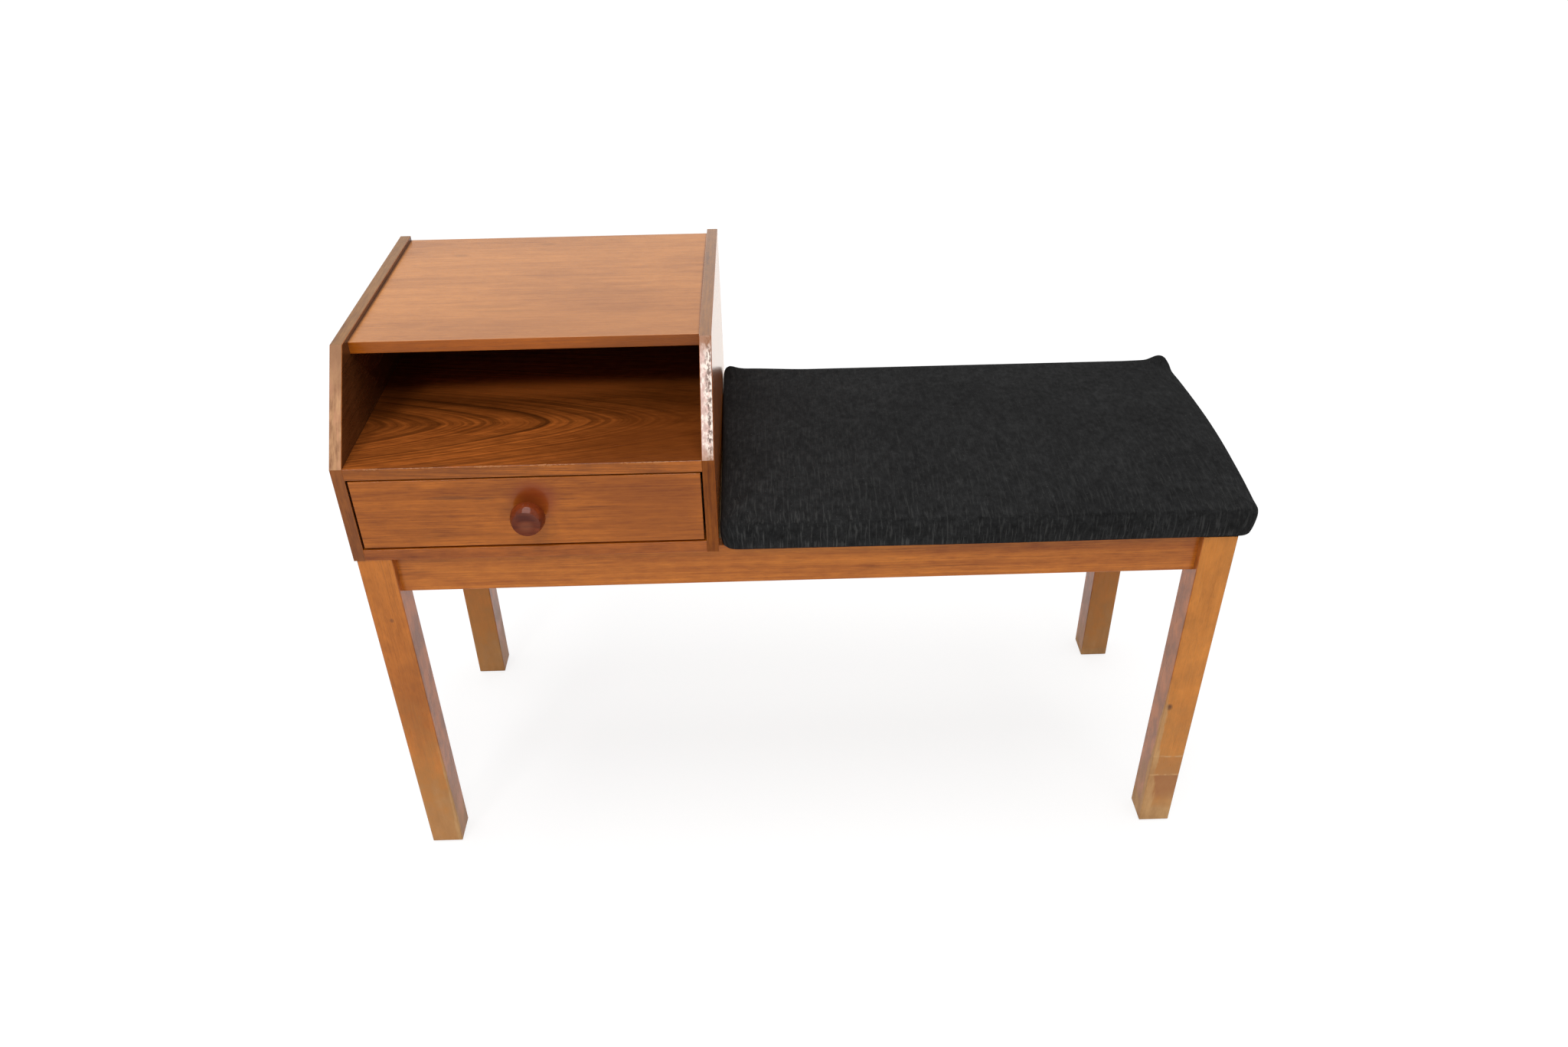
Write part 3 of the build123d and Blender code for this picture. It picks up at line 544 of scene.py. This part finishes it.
# Painted shade and light on the shelf: darker over its right part and right front, where the right
# side shades it, lighter just in front of the shadow at its rear, and darker by the left side,
# whose shadow falls there.
SHELF_PAINTED_SHADING = (((-0.115, -0.100), (0.140, 0.160), 0.50, scaled(SHELF_DARK, 0.45)),
               ((-0.150, -0.140), (0.140, 0.065), 0.50, scaled(SHELF_DARK, 0.50)),
               ((-0.270, -0.010), (0.150, 0.035), 0.45, scaled(SHELF_LIGHT, 1.3)),
               ((-0.440, -0.010), (0.060, 0.150), 0.50, scaled(SHELF_DARK, 0.5)))


def dress_cabinet():
    dress(wood("veneer_top", "x", "z", TOP_DARK, TOP_LIGHT, lipped=True, seed=3.1, rough=0.26,
               weights=(0.20, 0.35, 0.35, 0.20, 0.20), dashes=0.15, edge_tint=TOP_EDGE,
               marks=TOP_MARKS, specular=0.3), "cabinet_top")
    dress(wood("veneer_shelf", "x", "z", SHELF_DARK, SHELF_LIGHT, lipped=True, seed=0.4,
               weights=(0.2, 0.3, 0.3, 0.3, 0.15), tongues=shelf_tongues, edge_tint=SHELF_EDGE,
               marks=SHELF_PAINTED_SHADING, overlay=arris_wear), "cabinet_shelf")
    dress(wood("veneer_bottom", "x", "z", VENEER_DARK, VENEER_LIGHT, lipped=True, seed=1.7,
               edge_tint=BOTTOM_EDGE), "cabinet_bottom")
    dress(wood("veneer_side_left", "y", "x", VENEER_DARK, VENEER_LIGHT, lipped=True, seed=2.3,
               dashes=0.15, edge_tint=SIDE_EDGE, sparkle=slant_dull,
               tints=(("x", 1, INNER_FACE_SHADE), ("z", 1, SIDE_TOP))), "cabinet_side_left")
    dress(wood("veneer_side_right", "y", "x", VENEER_DARK, VENEER_LIGHT, lipped=True, seed=6.3,
               rough=0.18, edge_tint=RIGHT_EDGE, sparkle=slant_glare, specular=0.15, coat=0.95,
               tints=(("x", -1, INNER_FACE_SHADE), ("x", 1, OUTER_FACE_LIGHT), ("z", 1, SIDE_TOP))),
          "cabinet_side_right")


# ---- Drawer ----
# KNOB_SHADOW is the knob's painted shadow and painted reflection on the drawer front, above and
# right of it.
DRAWER_STAIN, KNOB_SHADOW = (0.13, 0.04, 0.010), (0.27, 0.045, 0.012)
KNOB_DARK, KNOB_LIGHT = (0.070, 0.010, 0.003), (0.20, 0.036, 0.008)

# Streak stains, the knob's painted shadow and reflection, and a darker right part.
DRAWER_MARKS = (((-0.345, 0.4895), (0.030, 0.0035), 0.45, DRAWER_STAIN),
                ((-0.313, 0.4880), (0.018, 0.0022), 0.35, DRAWER_STAIN),
                ((-0.264, 0.4850), (0.030, 0.029), 0.80, KNOB_SHADOW),
                ((-0.150, 0.4720), (0.080, 0.070), 0.38, VENEER_DARK))


def dress_drawer_front():
    dress(wood("drawer_face", "x", "y", VENEER_DARK, VENEER_LIGHT, seed=5.2, rough=0.17,
               weights=(0.25, 0.45, 0.25, 0.20, 0.2), dashes=0.4, marks=DRAWER_MARKS,
               marked=("y", -1), specular=0.26), "drawer_front")


def dress_knob():
    dress(wood("knob_wood", "x", "z", KNOB_DARK, KNOB_LIGHT, seed=18.0, rough=0.065,
               specular=0.18, band=300.0, relief=0.005, overlay=dish_shading), "drawer_knob")


# ---- Rails and legs ----
RAIL_DARK, RAIL_LIGHT = (0.31, 0.072, 0.005), (0.70, 0.220, 0.024)
LEG_DARK, LEG_LIGHT = (0.40, 0.112, 0.008), (0.66, 0.208, 0.026)
RIGHT_LEG_DARK, RIGHT_LEG_LIGHT = (0.54, 0.178, 0.018), (0.74, 0.270, 0.040)
RUB_LINES = (0.1083, 0.0789)    # heights
RAIL_BAND = 150.0
LEFT_LEG_MARKS = (((0.069, -0.4190), (0.010, 0.012), 0.6, (0.36, 0.17, 0.055)),
                  ((0.340, -0.4300), (0.004, 0.003), 0.6, (0.16, 0.05, 0.015)))
KNOT = (((0.186, 0.4003), (0.0066, 0.0052), 1.0, (0.090, 0.020, 0.004)),)
# Each rear leg: factors of the dark and the light tone, and the height of its pale foot.
REAR_LEGS = {"leg_rear_left": (0.79, 0.82, 0.0), "leg_rear_right": (0.85, 0.88, 0.016)}
REAR_SEED, REAR_SEED_STEP = 10.3, 1.3


def dress_rails():
    dress(wood("rail_wood", "x", "y", RAIL_DARK, RAIL_LIGHT, seed=7.4, band=RAIL_BAND,
               weights=(0.4, 0.35, 0.2, 0.25, 0.15)), "rail_front", "rail_rear")
    dress(wood("end_rail_wood", "y", "x", RAIL_DARK, RAIL_LIGHT, seed=8.8, band=RAIL_BAND),
          "rail_left", "rail_right")


def dress_legs():
    def dress_leg(name, dark, light, seed, marks, **worn):
        dress(wood(name + "_wood", "z", "y", dark, light, seed=seed, rough=0.3,
                   weights=(0.3, 0.3, 0.5, 0.30, 0.15), dashes=0.2, marks=marks,
                   marked=("y", -1, ROUNDED), overlay=leg_wear_and_highlight(name, **worn)), name)

    dress_leg("leg_front_left", LEG_DARK, LEG_LIGHT, 9.0, LEFT_LEG_MARKS,
              worn_side=1, worn_below=0.165, widths=(0.0035, 0.0055))
    for number, (name, (dark, light, pale_foot)) in enumerate(REAR_LEGS.items()):
        dress_leg(name, scaled(LEG_DARK, dark), scaled(LEG_LIGHT, light),
                  REAR_SEED + number * REAR_SEED_STEP, (), pale_foot=pale_foot)
    dress_leg("leg_front_right", RIGHT_LEG_DARK, RIGHT_LEG_LIGHT, 13.4, KNOT, worn_side=-1,
              worn_below=0.23, widths=(0.002, 0.0145), pale_foot=0.030, rubbed_lines=RUB_LINES)


# ---- Bare wood ----
PALE = ((0.40, 0.25, 0.12), (0.60, 0.43, 0.25))
DRAWER_PANEL = ((0.22, 0.11, 0.05), (0.34, 0.19, 0.09))
BACK_PANEL = ((0.12, 0.050, 0.022), (0.22, 0.10, 0.045))
BACK_INSIDE = (0.66, 1.2, 2.1)  # tint of the face that closes the cabinet


def dress_bare_wood():
    """Blocks, dowels, the drawer's sides, back and bottom, the cabinet's back and the board."""
    bare = {"rough": 0.62, "specular": 0.25, "relief": 0.05}
    dress(wood("inner_wood", "x", "z", *PALE, seed=11.0, **bare),
          "corner_block_front_left", "corner_block_front_right", "corner_block_rear_left",
          "corner_block_rear_right", "middle_bearer", "drawer_stop_left", "drawer_stop_right",
          "cabinet_dowels")
    dress(wood("drawer_side_wood", "y", "x", *PALE, seed=12.0, **bare),
          "drawer_side_left", "drawer_side_right")
    dress(wood("drawer_back_wood", "x", "y", *PALE, seed=14.0, **bare), "drawer_back")
    dress(wood("drawer_panel_wood", "x", "z", *DRAWER_PANEL, seed=15.0, **bare), "drawer_bottom")
    dress(wood("back_panel_wood", "x", "y", *BACK_PANEL, seed=16.0,
               tints=(("y", -1, BACK_INSIDE),), **bare), "cabinet_back")
    dress(wood("plywood", "x", "z", *PALE, seed=17.0, **bare), "seat_board")


# ---- Metal ----
STEEL_DARK, STEEL_LIGHT = (0.42, 0.41, 0.39), (0.60, 0.58, 0.54)


def steel():
    tree = Tree("zinc_steel")
    spots = tree.noise(tree.place, 900.0, 3.0, 0.6)
    shade = tree.mix(spots, STEEL_DARK, STEEL_LIGHT)
    rough = tree.stretch(spots, 0.2, 0.8, 0.28, 0.5)
    return tree.surface(Base_Color=shade, Metallic=1.0, Roughness=rough)


# ---- Meshes ----
def put_in_scene(name, data):
    made = bpy.data.objects.new(name, data)
    bpy.context.scene.collection.objects.link(made)
    return made


def mesh_of(name, build):
    """A new mesh: build fills a bmesh with it."""
    form = bmesh.new()
    build(form)
    mesh = bpy.data.meshes.new(name)
    form.to_mesh(mesh)
    form.free()
    return mesh


def piece_of(name, build, material, body):
    """A new visible piece of one material, on one body."""
    mesh = mesh_of(name, build)
    mesh.materials.append(material)
    piece = put_in_scene(name, mesh)
    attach(piece, body)
    return piece


def modified(piece):
    """The piece's mesh with its modifiers applied."""
    graph = bpy.context.evaluated_depsgraph_get()
    return bpy.data.meshes.new_from_object(piece.evaluated_get(graph))


def settle(piece):
    """Puts the modified mesh in place of the piece's own."""
    shape = modified(piece)
    piece.modifiers.clear()
    old, piece.data = piece.data, shape
    bpy.data.meshes.remove(old)


def cut(piece, build):
    """Takes the closed forms that build makes out of the piece."""
    cutter = put_in_scene("cutter", mesh_of("cutter", build))
    modifier = piece.modifiers.new("cut", "BOOLEAN")
    modifier.operation = "DIFFERENCE"
    modifier.solver = "EXACT"
    modifier.object = cutter
    settle(piece)
    bpy.data.objects.remove(cutter)


def add_box(form, middle, size, turn=0.0, axis="Z"):
    turned = Matrix.Rotation(turn, 4, axis) @ Matrix.Diagonal((*size, 1.0))
    bmesh.ops.create_cube(form, size=1.0, matrix=Matrix.Translation(middle) @ turned)


# ---- Screws ----
SLOT_WIDTH, SLOT_LENGTH, SLOT_DEPTH = 0.0010, 0.0092, 0.0010
SLOT_TURN, SLOT_TURN_STEP = 0.6, 1.1    # radians: of the first head, and from head to head
HEAD_SPAN = 0.012               # more than one head measures, less than two heads are apart
HEAD_LEVEL = 0.0006             # depth under the outermost plane that still belongs to a head


def slotted_screws(name, body, axis, side, material):
    """The wood screws with a driver's slot across each head, each turned its own way.
    axis and side say where the heads look: side -1 is the low end of the axis."""
    index = "xyz".index(axis)
    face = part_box(name)[(side + 1) // 2][index]
    heads = []
    for vertex in nodes[name].data.vertices:
        place = vertex.co.copy()
        if abs(place[index] - face) < HEAD_LEVEL:
            place[index] = face
            near = next((head for head in heads if (head[0] - place).length < HEAD_SPAN), None)
            if near:
                near.append(place)
            else:
                heads.append([place])

    def screws(form):
        form.from_mesh(nodes[name].data)

    def slots(form):
        for number, points in enumerate(heads):
            middle = sum(points, Vector()) / len(points)
            size = [SLOT_LENGTH, SLOT_LENGTH, SLOT_LENGTH]
            size[index] = 2 * SLOT_DEPTH
            size[(index + 1) % 3] = SLOT_WIDTH
            add_box(form, middle, size, SLOT_TURN + number * SLOT_TURN_STEP, axis.upper())

    piece = piece_of(name + "_slotted", screws, material, body)
    cut(piece, slots)
    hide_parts(name)


# ---- Seat cover ----
THREAD = 0.0013                 # from one thread of the weave to the next
COVER_DARK, COVER_LIGHT = (0.0136, 0.0137, 0.0139), (0.0190, 0.0192, 0.0194)
COVER_SLUB = (0.085, 0.085, 0.082)
SEAT_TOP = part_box("seat_cover")[1][2]
SIDE_LOW, SIDE_RIM = -0.036, -0.006     # from the seat's top: low on its sides, and their rim
SLUBS_LEFT, SLUBS_FRONT = (-0.08, 0.20), (-0.15, 0.02)      # x and y over which slubs thin out
WEAVE_SWAY = (0.0010, 0.0012)   # of the threads, along x and y
WEAVE_RELIEF = 0.35 * MM


def woven_cover():
    """Charcoal wool in a plain weave: uneven threads, pale flecks and slubs from front to back."""
    tree = Tree("woven_cover")
    x, y, z = tree.split(tree.place)
    nx, ny, _ = tree.split(tree.normal)
    drop = tree.less(z, SEAT_TOP)
    u = tree.less(x, tree.times(nx, drop))
    v = tree.less(y, tree.times(ny, drop))
    sway = tree.noise(tree.place, 55.0)
    u = tree.add(u, tree.times(tree.less(sway, 0.5), WEAVE_SWAY[0]))
    v = tree.add(v, tree.times(tree.less(sway, 0.5), WEAVE_SWAY[1]))
    warp = tree.math("SINE", tree.times(u, math.pi / THREAD))
    weft = tree.math("SINE", tree.times(v, math.pi / THREAD))
    over = tree.stretch(tree.times(warp, weft), -0.25, 0.25)
    lift = tree.mixed("FLOAT", over, tree.times(warp, warp), tree.times(weft, weft))

    def flecks(scales, low, high, detail=2.0):
        return tree.stretch(tree.plane_noise(u, v, scales, 0.0, detail, 0.6), low, high)

    clouds = tree.stretch(tree.noise(tree.place, 16.0, 3.0, 0.6), 0.3, 0.7)
    mottle = flecks((210.0, 130.0), 0.34, 0.66, 4.0)
    blots = flecks((90.0, 60.0), 0.34, 0.66, 3.0)
    slubs = flecks((430.0, 40.0), 0.52, 0.68)
    specks = flecks((560.0, 330.0), 0.66, 0.76, 1.0)
    low_down = tree.stretch(drop, SIDE_LOW, SIDE_RIM, 1.0, 0.30)
    low_down = tree.times(low_down, tree.stretch(x, *SLUBS_LEFT, 1.0, 0.6))
    low_down = tree.times(low_down, tree.stretch(y, *SLUBS_FRONT, 1.0, 0.4))
    shade = tree.mix(clouds, COVER_DARK, COVER_LIGHT)
    shade = tree.multiply(shade, tree.mix(mottle, 0.72, 1.27))
    shade = tree.multiply(shade, tree.mix(blots, 0.78, 1.26))
    shade = tree.multiply(shade, tree.mix(lift, 0.68, 1.12))
    # Painted light: the pad's sides are made lighter for the light that the front lamps give them.
    painted_lit_sides = tree.stretch(drop, SIDE_LOW, SIDE_RIM, 1.0, 0.0)
    shade = tree.multiply(shade, tree.mix(painted_lit_sides, 1.0, 1.3))
    shade = tree.mix(tree.times(tree.times(slubs, low_down), 0.85), shade, COVER_SLUB)
    shade = tree.mix(tree.times(specks, 0.3), shade, COVER_SLUB)
    height = tree.add(tree.times(lift, 0.8), tree.times(mottle, 0.7))
    bump = tree.bump(tree.add(height, tree.times(slubs, 0.5)), WEAVE_RELIEF)
    return tree.surface(Base_Color=shade, Roughness=0.95, Specular_IOR_Level=0.06, Normal=bump)


# ---- Seat cushion ----
SIDE_INSET, TOP_INSET = 0.0006, 0.0042      # the pad starts smaller than its CAD space
PAD_VOXEL = 0.005
PAD_PRESSURE = 4.0
PAD_STIFFNESS, PAD_SHEAR = 60.0, 20.0
PAD_CAP = 0.006                 # how far a point may move
PAD_FRAMES = 20
PINNED_BELOW = 0.006            # above the flat underside
UPRIGHT = 0.8                   # a normal with a smaller z is one of the pad's sides
SIDE_HOLD = 0.5                 # how firmly the foam's upright sides hold the cover out

# Folded corners of the cover, by their sides in x and y: how far the fold's tip stands in from
# the end, its height and reach, and how far the rounding is filled out towards a square corner.
CORNERS = {(-1, 1): (0.0085, 0.0100, 0.0105, 0.0085), (1, 1): (0.0130, 0.0105, 0.020, 0.0030),
           (1, -1): (0.0040, 0.0010, 0.020, 0.0040), (-1, -1): (0.0040, 0.0014, 0.020, 0.0055)}
TIP_INSET = 0.005               # of a fold's tip from the front or rear edge
CORNER_REACH = 0.030
DIAGONAL = 0.7                  # share along each axis of a push along the diagonal
REAR_RISE = (0.0052, 0.0032)    # of the rear edge, at its left and right ends
REAR_ENDS = ((0.0040, 0.080), (0.0014, 0.050))      # more near each end: height and reach
REAR_REACH = 0.035
END_PROUD, END_REACH = 0.0022, 0.03     # of the right end
CLEAR_OF_CABINET = 0.0002
PRESSED = 0.97                  # share of its gap that the left end loses against the cabinet
PRESS_WIDTH, PRESS_REACH = 0.012, 0.160     # in x from the cabinet, and in y from the rear
LEVEL_STRETCH = 0.3             # share of a reach over which a change keeps its full size

FLANGE = 0.021                  # cover turned under the board
RECESS = 0.0025                 # the board shows above it
CREASE_ANGLE = math.radians(50)


def swell(piece, low):
    """The pad swells under its cover: cloth held along the underside, blown out a little."""
    pins = piece.vertex_groups.new(name="pins")
    start = [vertex.co.copy() for vertex in piece.data.vertices]
    for number, vertex in enumerate(piece.data.vertices):
        if vertex.co.z < low.z + PINNED_BELOW:
            pins.add([number], 1.0, "REPLACE")
        elif abs(vertex.normal.z) < UPRIGHT:
            pins.add([number], SIDE_HOLD, "REPLACE")
    cloth = piece.modifiers.new("cloth", "CLOTH")
    cloth.settings.use_pressure = True
    cloth.settings.uniform_pressure_force = PAD_PRESSURE
    cloth.settings.effector_weights.gravity = 0.0
    cloth.settings.tension_stiffness = PAD_STIFFNESS
    cloth.settings.compression_stiffness = PAD_STIFFNESS
    cloth.settings.shear_stiffness = PAD_SHEAR
    cloth.settings.vertex_group_mass = "pins"
    cloth.collision_settings.use_collision = False
    cloth.collision_settings.use_self_collision = False
    cloth.point_cache.frame_start, cloth.point_cache.frame_end = 1, PAD_FRAMES
    for number in range(1, PAD_FRAMES + 1):
        bpy.context.scene.frame_set(number)
    swollen = modified(piece)
    piece.modifiers.clear()
    bpy.context.scene.frame_set(1)
    for vertex, place, moved in zip(piece.data.vertices, start, swollen.vertices):
        step = moved.co - place
        if step.length > PAD_CAP:
            step *= PAD_CAP / step.length
        vertex.co = place + step
    bpy.data.meshes.remove(swollen)
    piece.vertex_groups.clear()


def eased(share):
    """A share kept between 0 and 1, with a soft start and end."""
    share = min(1.0, max(0.0, share))
    return share * share * (3 - 2 * share)


def levelled(share):
    """1 over the first stretch of a reach, then eased off to 0 one reach further on."""
    return eased(1.0 + LEVEL_STRETCH - share)


def shape_cushion(piece, low, high):
    """Folds the cover's corners, raises its rear edge and presses its left end to the cabinet."""
    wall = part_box("cabinet_side_right")[1][0] + CLEAR_OF_CABINET
    for vertex in piece.data.vertices:
        place = vertex.co.copy()
        up = eased((place.z - low.z) / (high.z - low.z))
        for (side_x, side_y), (inset, rise, reach, fill) in CORNERS.items():
            corner = Vector((high.x if side_x > 0 else low.x, high.y if side_y > 0 else low.y))
            tip = corner - Vector((side_x * inset, side_y * TIP_INSET))
            near = eased(1.0 - (place.xy - corner).length / CORNER_REACH) * fill * DIAGONAL
            fold = eased(1.0 - (place.xy - tip).length / reach) * rise
            vertex.co += up * Vector((near * side_x, near * side_y, fold))
        rightness = (place.x - low.x) / (high.x - low.x)
        rise = REAR_RISE[0] + (REAR_RISE[1] - REAR_RISE[0]) * rightness
        for end, (extra, reach) in zip((low.x, high.x), REAR_ENDS):
            rise += extra * levelled(abs(place.x - end) / reach)
        vertex.co.z += eased(1.0 - (high.y - place.y) / REAR_REACH) * up * rise
        vertex.co.x += END_PROUD * eased(1.0 - (high.x - place.x) / END_REACH) * up
        gap = vertex.co.x - wall
        near_wall = eased(1.0 - gap / PRESS_WIDTH)
        pressed = PRESSED * near_wall * levelled((high.y - place.y) / PRESS_REACH)
        vertex.co.x = max(wall + gap * (1.0 - pressed), wall)
        vertex.co.z = max(vertex.co.z, low.z)


def seat_cushion():
    """The stapled cover over its pad, from the space that the CAD seat holds."""
    low, high = (Vector(corner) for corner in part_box("seat_cover"))
    middle = (low + high) / 2

    def hull(form):
        for vertex in nodes["seat_cover"].data.vertices:
            form.verts.new(vertex.co)
        made = bmesh.ops.convex_hull(form, input=form.verts)
        bmesh.ops.delete(form, geom=made["geom_interior"], context="VERTS")
        narrower = 1 - SIDE_INSET / (high.x - middle.x)
        shallower = 1 - SIDE_INSET / (high.y - middle.y)
        lower = 1 - TOP_INSET / (high.z - low.z)
        for vertex in form.verts:
            vertex.co.x = middle.x + (vertex.co.x - middle.x) * narrower
            vertex.co.y = middle.y + (vertex.co.y - middle.y) * shallower
            vertex.co.z = low.z + (vertex.co.z - low.z) * lower

    def recess(form):
        size = (high.x - low.x - 2 * FLANGE, high.y - low.y - 2 * FLANGE, 2 * RECESS)
        add_box(form, (middle.x, middle.y, low.z), size)

    piece = piece_of("seat_cushion", hull, woven_cover(), "bench")
    remesh = piece.modifiers.new("remesh", "REMESH")
    remesh.mode = "VOXEL"
    remesh.voxel_size = PAD_VOXEL
    settle(piece)
    swell(piece, low)
    shape_cushion(piece, low, high)
    fine = piece.modifiers.new("fine", "SUBSURF")
    fine.levels = fine.render_levels = 1
    settle(piece)
    cut(piece, recess)
    piece.data.shade_smooth()
    piece.data.set_sharp_from_angle(angle=CREASE_ANGLE)
    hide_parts("seat_cover", "seat_foam")


# ---- Staples ----
STAPLE_PITCH = 0.034
STAPLE_LENGTH, STAPLE_WIRE = 0.010, 0.0007
STAPLE_INSET = 0.014
STAPLE_SEED = 5
STRAY_ALONG, STRAY_ACROSS = 3.0, 1.2        # millimetres off the even row
STRAY_TURN = 0.22               # radians


def staples(material):
    """Staples that hold the cover's turned edge under the board."""
    low, high = (Vector(corner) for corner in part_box("seat_cover"))
    draw = random.Random(STAPLE_SEED)

    def stray(reach):
        return draw.uniform(-reach, reach)

    def build(form):
        for along, across in ((0, 1), (1, 0)):
            first = low[along] + FLANGE
            length = high[along] - low[along] - 2 * FLANGE
            count = round(length / STAPLE_PITCH)
            for side in (low[across] + STAPLE_INSET, high[across] - STAPLE_INSET):
                for number in range(count):
                    place = Vector((0, 0, low.z))
                    place[along] = first + length * (number + 0.5) / count + stray(STRAY_ALONG) * MM
                    place[across] = side + stray(STRAY_ACROSS) * MM
                    turn = (math.pi / 2 if along else 0.0) + stray(STRAY_TURN)
                    add_box(form, place, (STAPLE_LENGTH, STAPLE_WIRE, 2 * STAPLE_WIRE), turn)
        bmesh.ops.bevel(form, geom=form.edges, offset=STAPLE_WIRE * 0.3, segments=2, affect="EDGES")

    piece_of("cover_staples", build, material, "bench")


# ---- Studio ----
AMBIENT = 0.15
CEILING_STRENGTH, CEILING_ANGLE = 2.6, math.radians(50)
LAMPS = (((-1.05, -1.50, 2.05), 9.0), ((-0.19, -1.35, 2.05), 7.0), ((1.00, -1.20, 2.00), 2.5))
LAMP_SIZE = 0.38
LAMP_AIM = Vector((0.0, 0.0, 0.45))


def seen_directly(tree):
    """1 for what the camera sees, itself or mirrored in gloss, and 0 for light that things get."""
    rays = tree.nodes.new("ShaderNodeLightPath")
    seen = rays.outputs["Is Camera Ray"]
    for kind in ("Is Glossy Ray", "Is Transmission Ray"):
        either = tree.nodes.new("ShaderNodeMath")
        either.operation = "MAXIMUM"
        tree.links.new(seen, either.inputs[0])
        tree.links.new(rays.outputs[kind], either.inputs[1])
        seen = either.outputs[0]
    return seen


def studio():
    """White surroundings that give little light, a bright ceiling and three lamps."""
    scene = bpy.context.scene
    scene.view_settings.view_transform = "Standard"

    world = bpy.data.worlds.new("studio_air")
    scene.world = world
    world.use_nodes = True
    tree = world.node_tree
    background = tree.nodes["Background"]
    level = tree.nodes.new("ShaderNodeMapRange")
    level.inputs["To Min"].default_value = AMBIENT
    level.inputs["To Max"].default_value = 1.0
    tree.links.new(seen_directly(tree), level.inputs["Value"])
    tree.links.new(level.outputs[0], background.inputs["Strength"])
    background.inputs["Color"].default_value = colour(1.0)

    ceiling = bpy.data.lights.new("ceiling", "SUN")
    ceiling.energy = CEILING_STRENGTH
    ceiling.angle = CEILING_ANGLE
    put_in_scene("ceiling", ceiling)

    for place, power in LAMPS:
        lamp = bpy.data.lights.new("lamp", "AREA")
        lamp.shape = "DISK"
        lamp.size = LAMP_SIZE
        lamp.energy = power
        holder = put_in_scene("lamp", lamp)
        holder.location = place
        holder.rotation_euler = (LAMP_AIM - Vector(place)).to_track_quat("-Z", "Y").to_euler()


# ---- Floor ----
FLOOR_REACH = 8.0
FLOOR_GREY, FLOOR_FAINT, FLOOR_GLOW = 0.90, 0.22, 0.82


def floor_paint():
    """Matt to the light that things get; to the camera and in gloss fainter, with a white glow."""
    material = bpy.data.materials.new("floor_paint")
    material.use_nodes = True
    tree = material.node_tree
    tree.nodes.clear()
    out = tree.nodes.new("ShaderNodeOutputMaterial")
    matt = tree.nodes.new("ShaderNodeBsdfDiffuse")
    matt.inputs["Color"].default_value = colour(FLOOR_GREY)
    faint = tree.nodes.new("ShaderNodeBsdfDiffuse")
    faint.inputs["Color"].default_value = colour(FLOOR_FAINT)
    glow = tree.nodes.new("ShaderNodeEmission")
    glow.inputs["Strength"].default_value = FLOOR_GLOW
    bright = tree.nodes.new("ShaderNodeAddShader")
    tree.links.new(faint.outputs[0], bright.inputs[0])
    tree.links.new(glow.outputs[0], bright.inputs[1])
    choice = tree.nodes.new("ShaderNodeMixShader")
    tree.links.new(seen_directly(tree), choice.inputs[0])
    tree.links.new(matt.outputs[0], choice.inputs[1])
    tree.links.new(bright.outputs[0], choice.inputs[2])
    tree.links.new(choice.outputs[0], out.inputs[0])
    return material


def floor():
    """A pale floor: bright to the camera and in reflections, with the bench's soft shadow on it."""
    mesh = bpy.data.meshes.new("floor")
    around = ((-1, -1), (1, -1), (1, 1), (-1, 1))
    corners = [(x * FLOOR_REACH, y * FLOOR_REACH, 0) for x, y in around]
    mesh.from_pydata(corners, [], [(0, 1, 2, 3)])
    piece = put_in_scene("floor", mesh)
    mesh.materials.append(floor_paint())


# ---- Camera ----
CAMERA_PLACE = Vector((-0.03942, -1.11518, 1.10763))
CAMERA_YAW = -0.015527          # about the vertical
CAMERA_PITCH = 0.606360         # downwards
CAMERA_ROLL = -0.017705
FOCAL_PIXELS = 1539.28
PICTURE_WIDTH = 2048
SENSOR = 36.0
CLIP_END = 50.0


def camera():
    data = bpy.data.cameras.new("camera")
    data.sensor_width = SENSOR
    data.lens = SENSOR * FOCAL_PIXELS / PICTURE_WIDTH
    data.clip_end = CLIP_END
    holder = put_in_scene("camera", data)
    right = Vector((math.cos(CAMERA_YAW), math.sin(CAMERA_YAW), 0))
    level = Vector((-math.sin(CAMERA_YAW), math.cos(CAMERA_YAW), 0))
    up = math.sin(CAMERA_PITCH) * level + math.cos(CAMERA_PITCH) * Vector((0, 0, 1))
    turned_right = math.cos(CAMERA_ROLL) * right + math.sin(CAMERA_ROLL) * up
    turned_up = -math.sin(CAMERA_ROLL) * right + math.cos(CAMERA_ROLL) * up
    back = turned_right.cross(turned_up)
    axes = Matrix((turned_right, turned_up, back)).transposed()
    holder.matrix_world = Matrix.Translation(CAMERA_PLACE) @ axes.to_4x4()
    bpy.context.scene.camera = holder


dress_cabinet()
dress_drawer_front()
dress_rails()
dress_legs()
dress_bare_wood()
dress_knob()
metal = steel()
dress(metal, "back_panel_nails", "drawer_bottom_nails")
slotted_screws("cabinet_screws", "bench", "z", -1, metal)
slotted_screws("seat_screws", "bench", "z", -1, metal)
slotted_screws("drawer_knob_screw", "drawer", "y", 1, metal)
seat_cushion()
staples(metal)
floor()
studio()
camera()
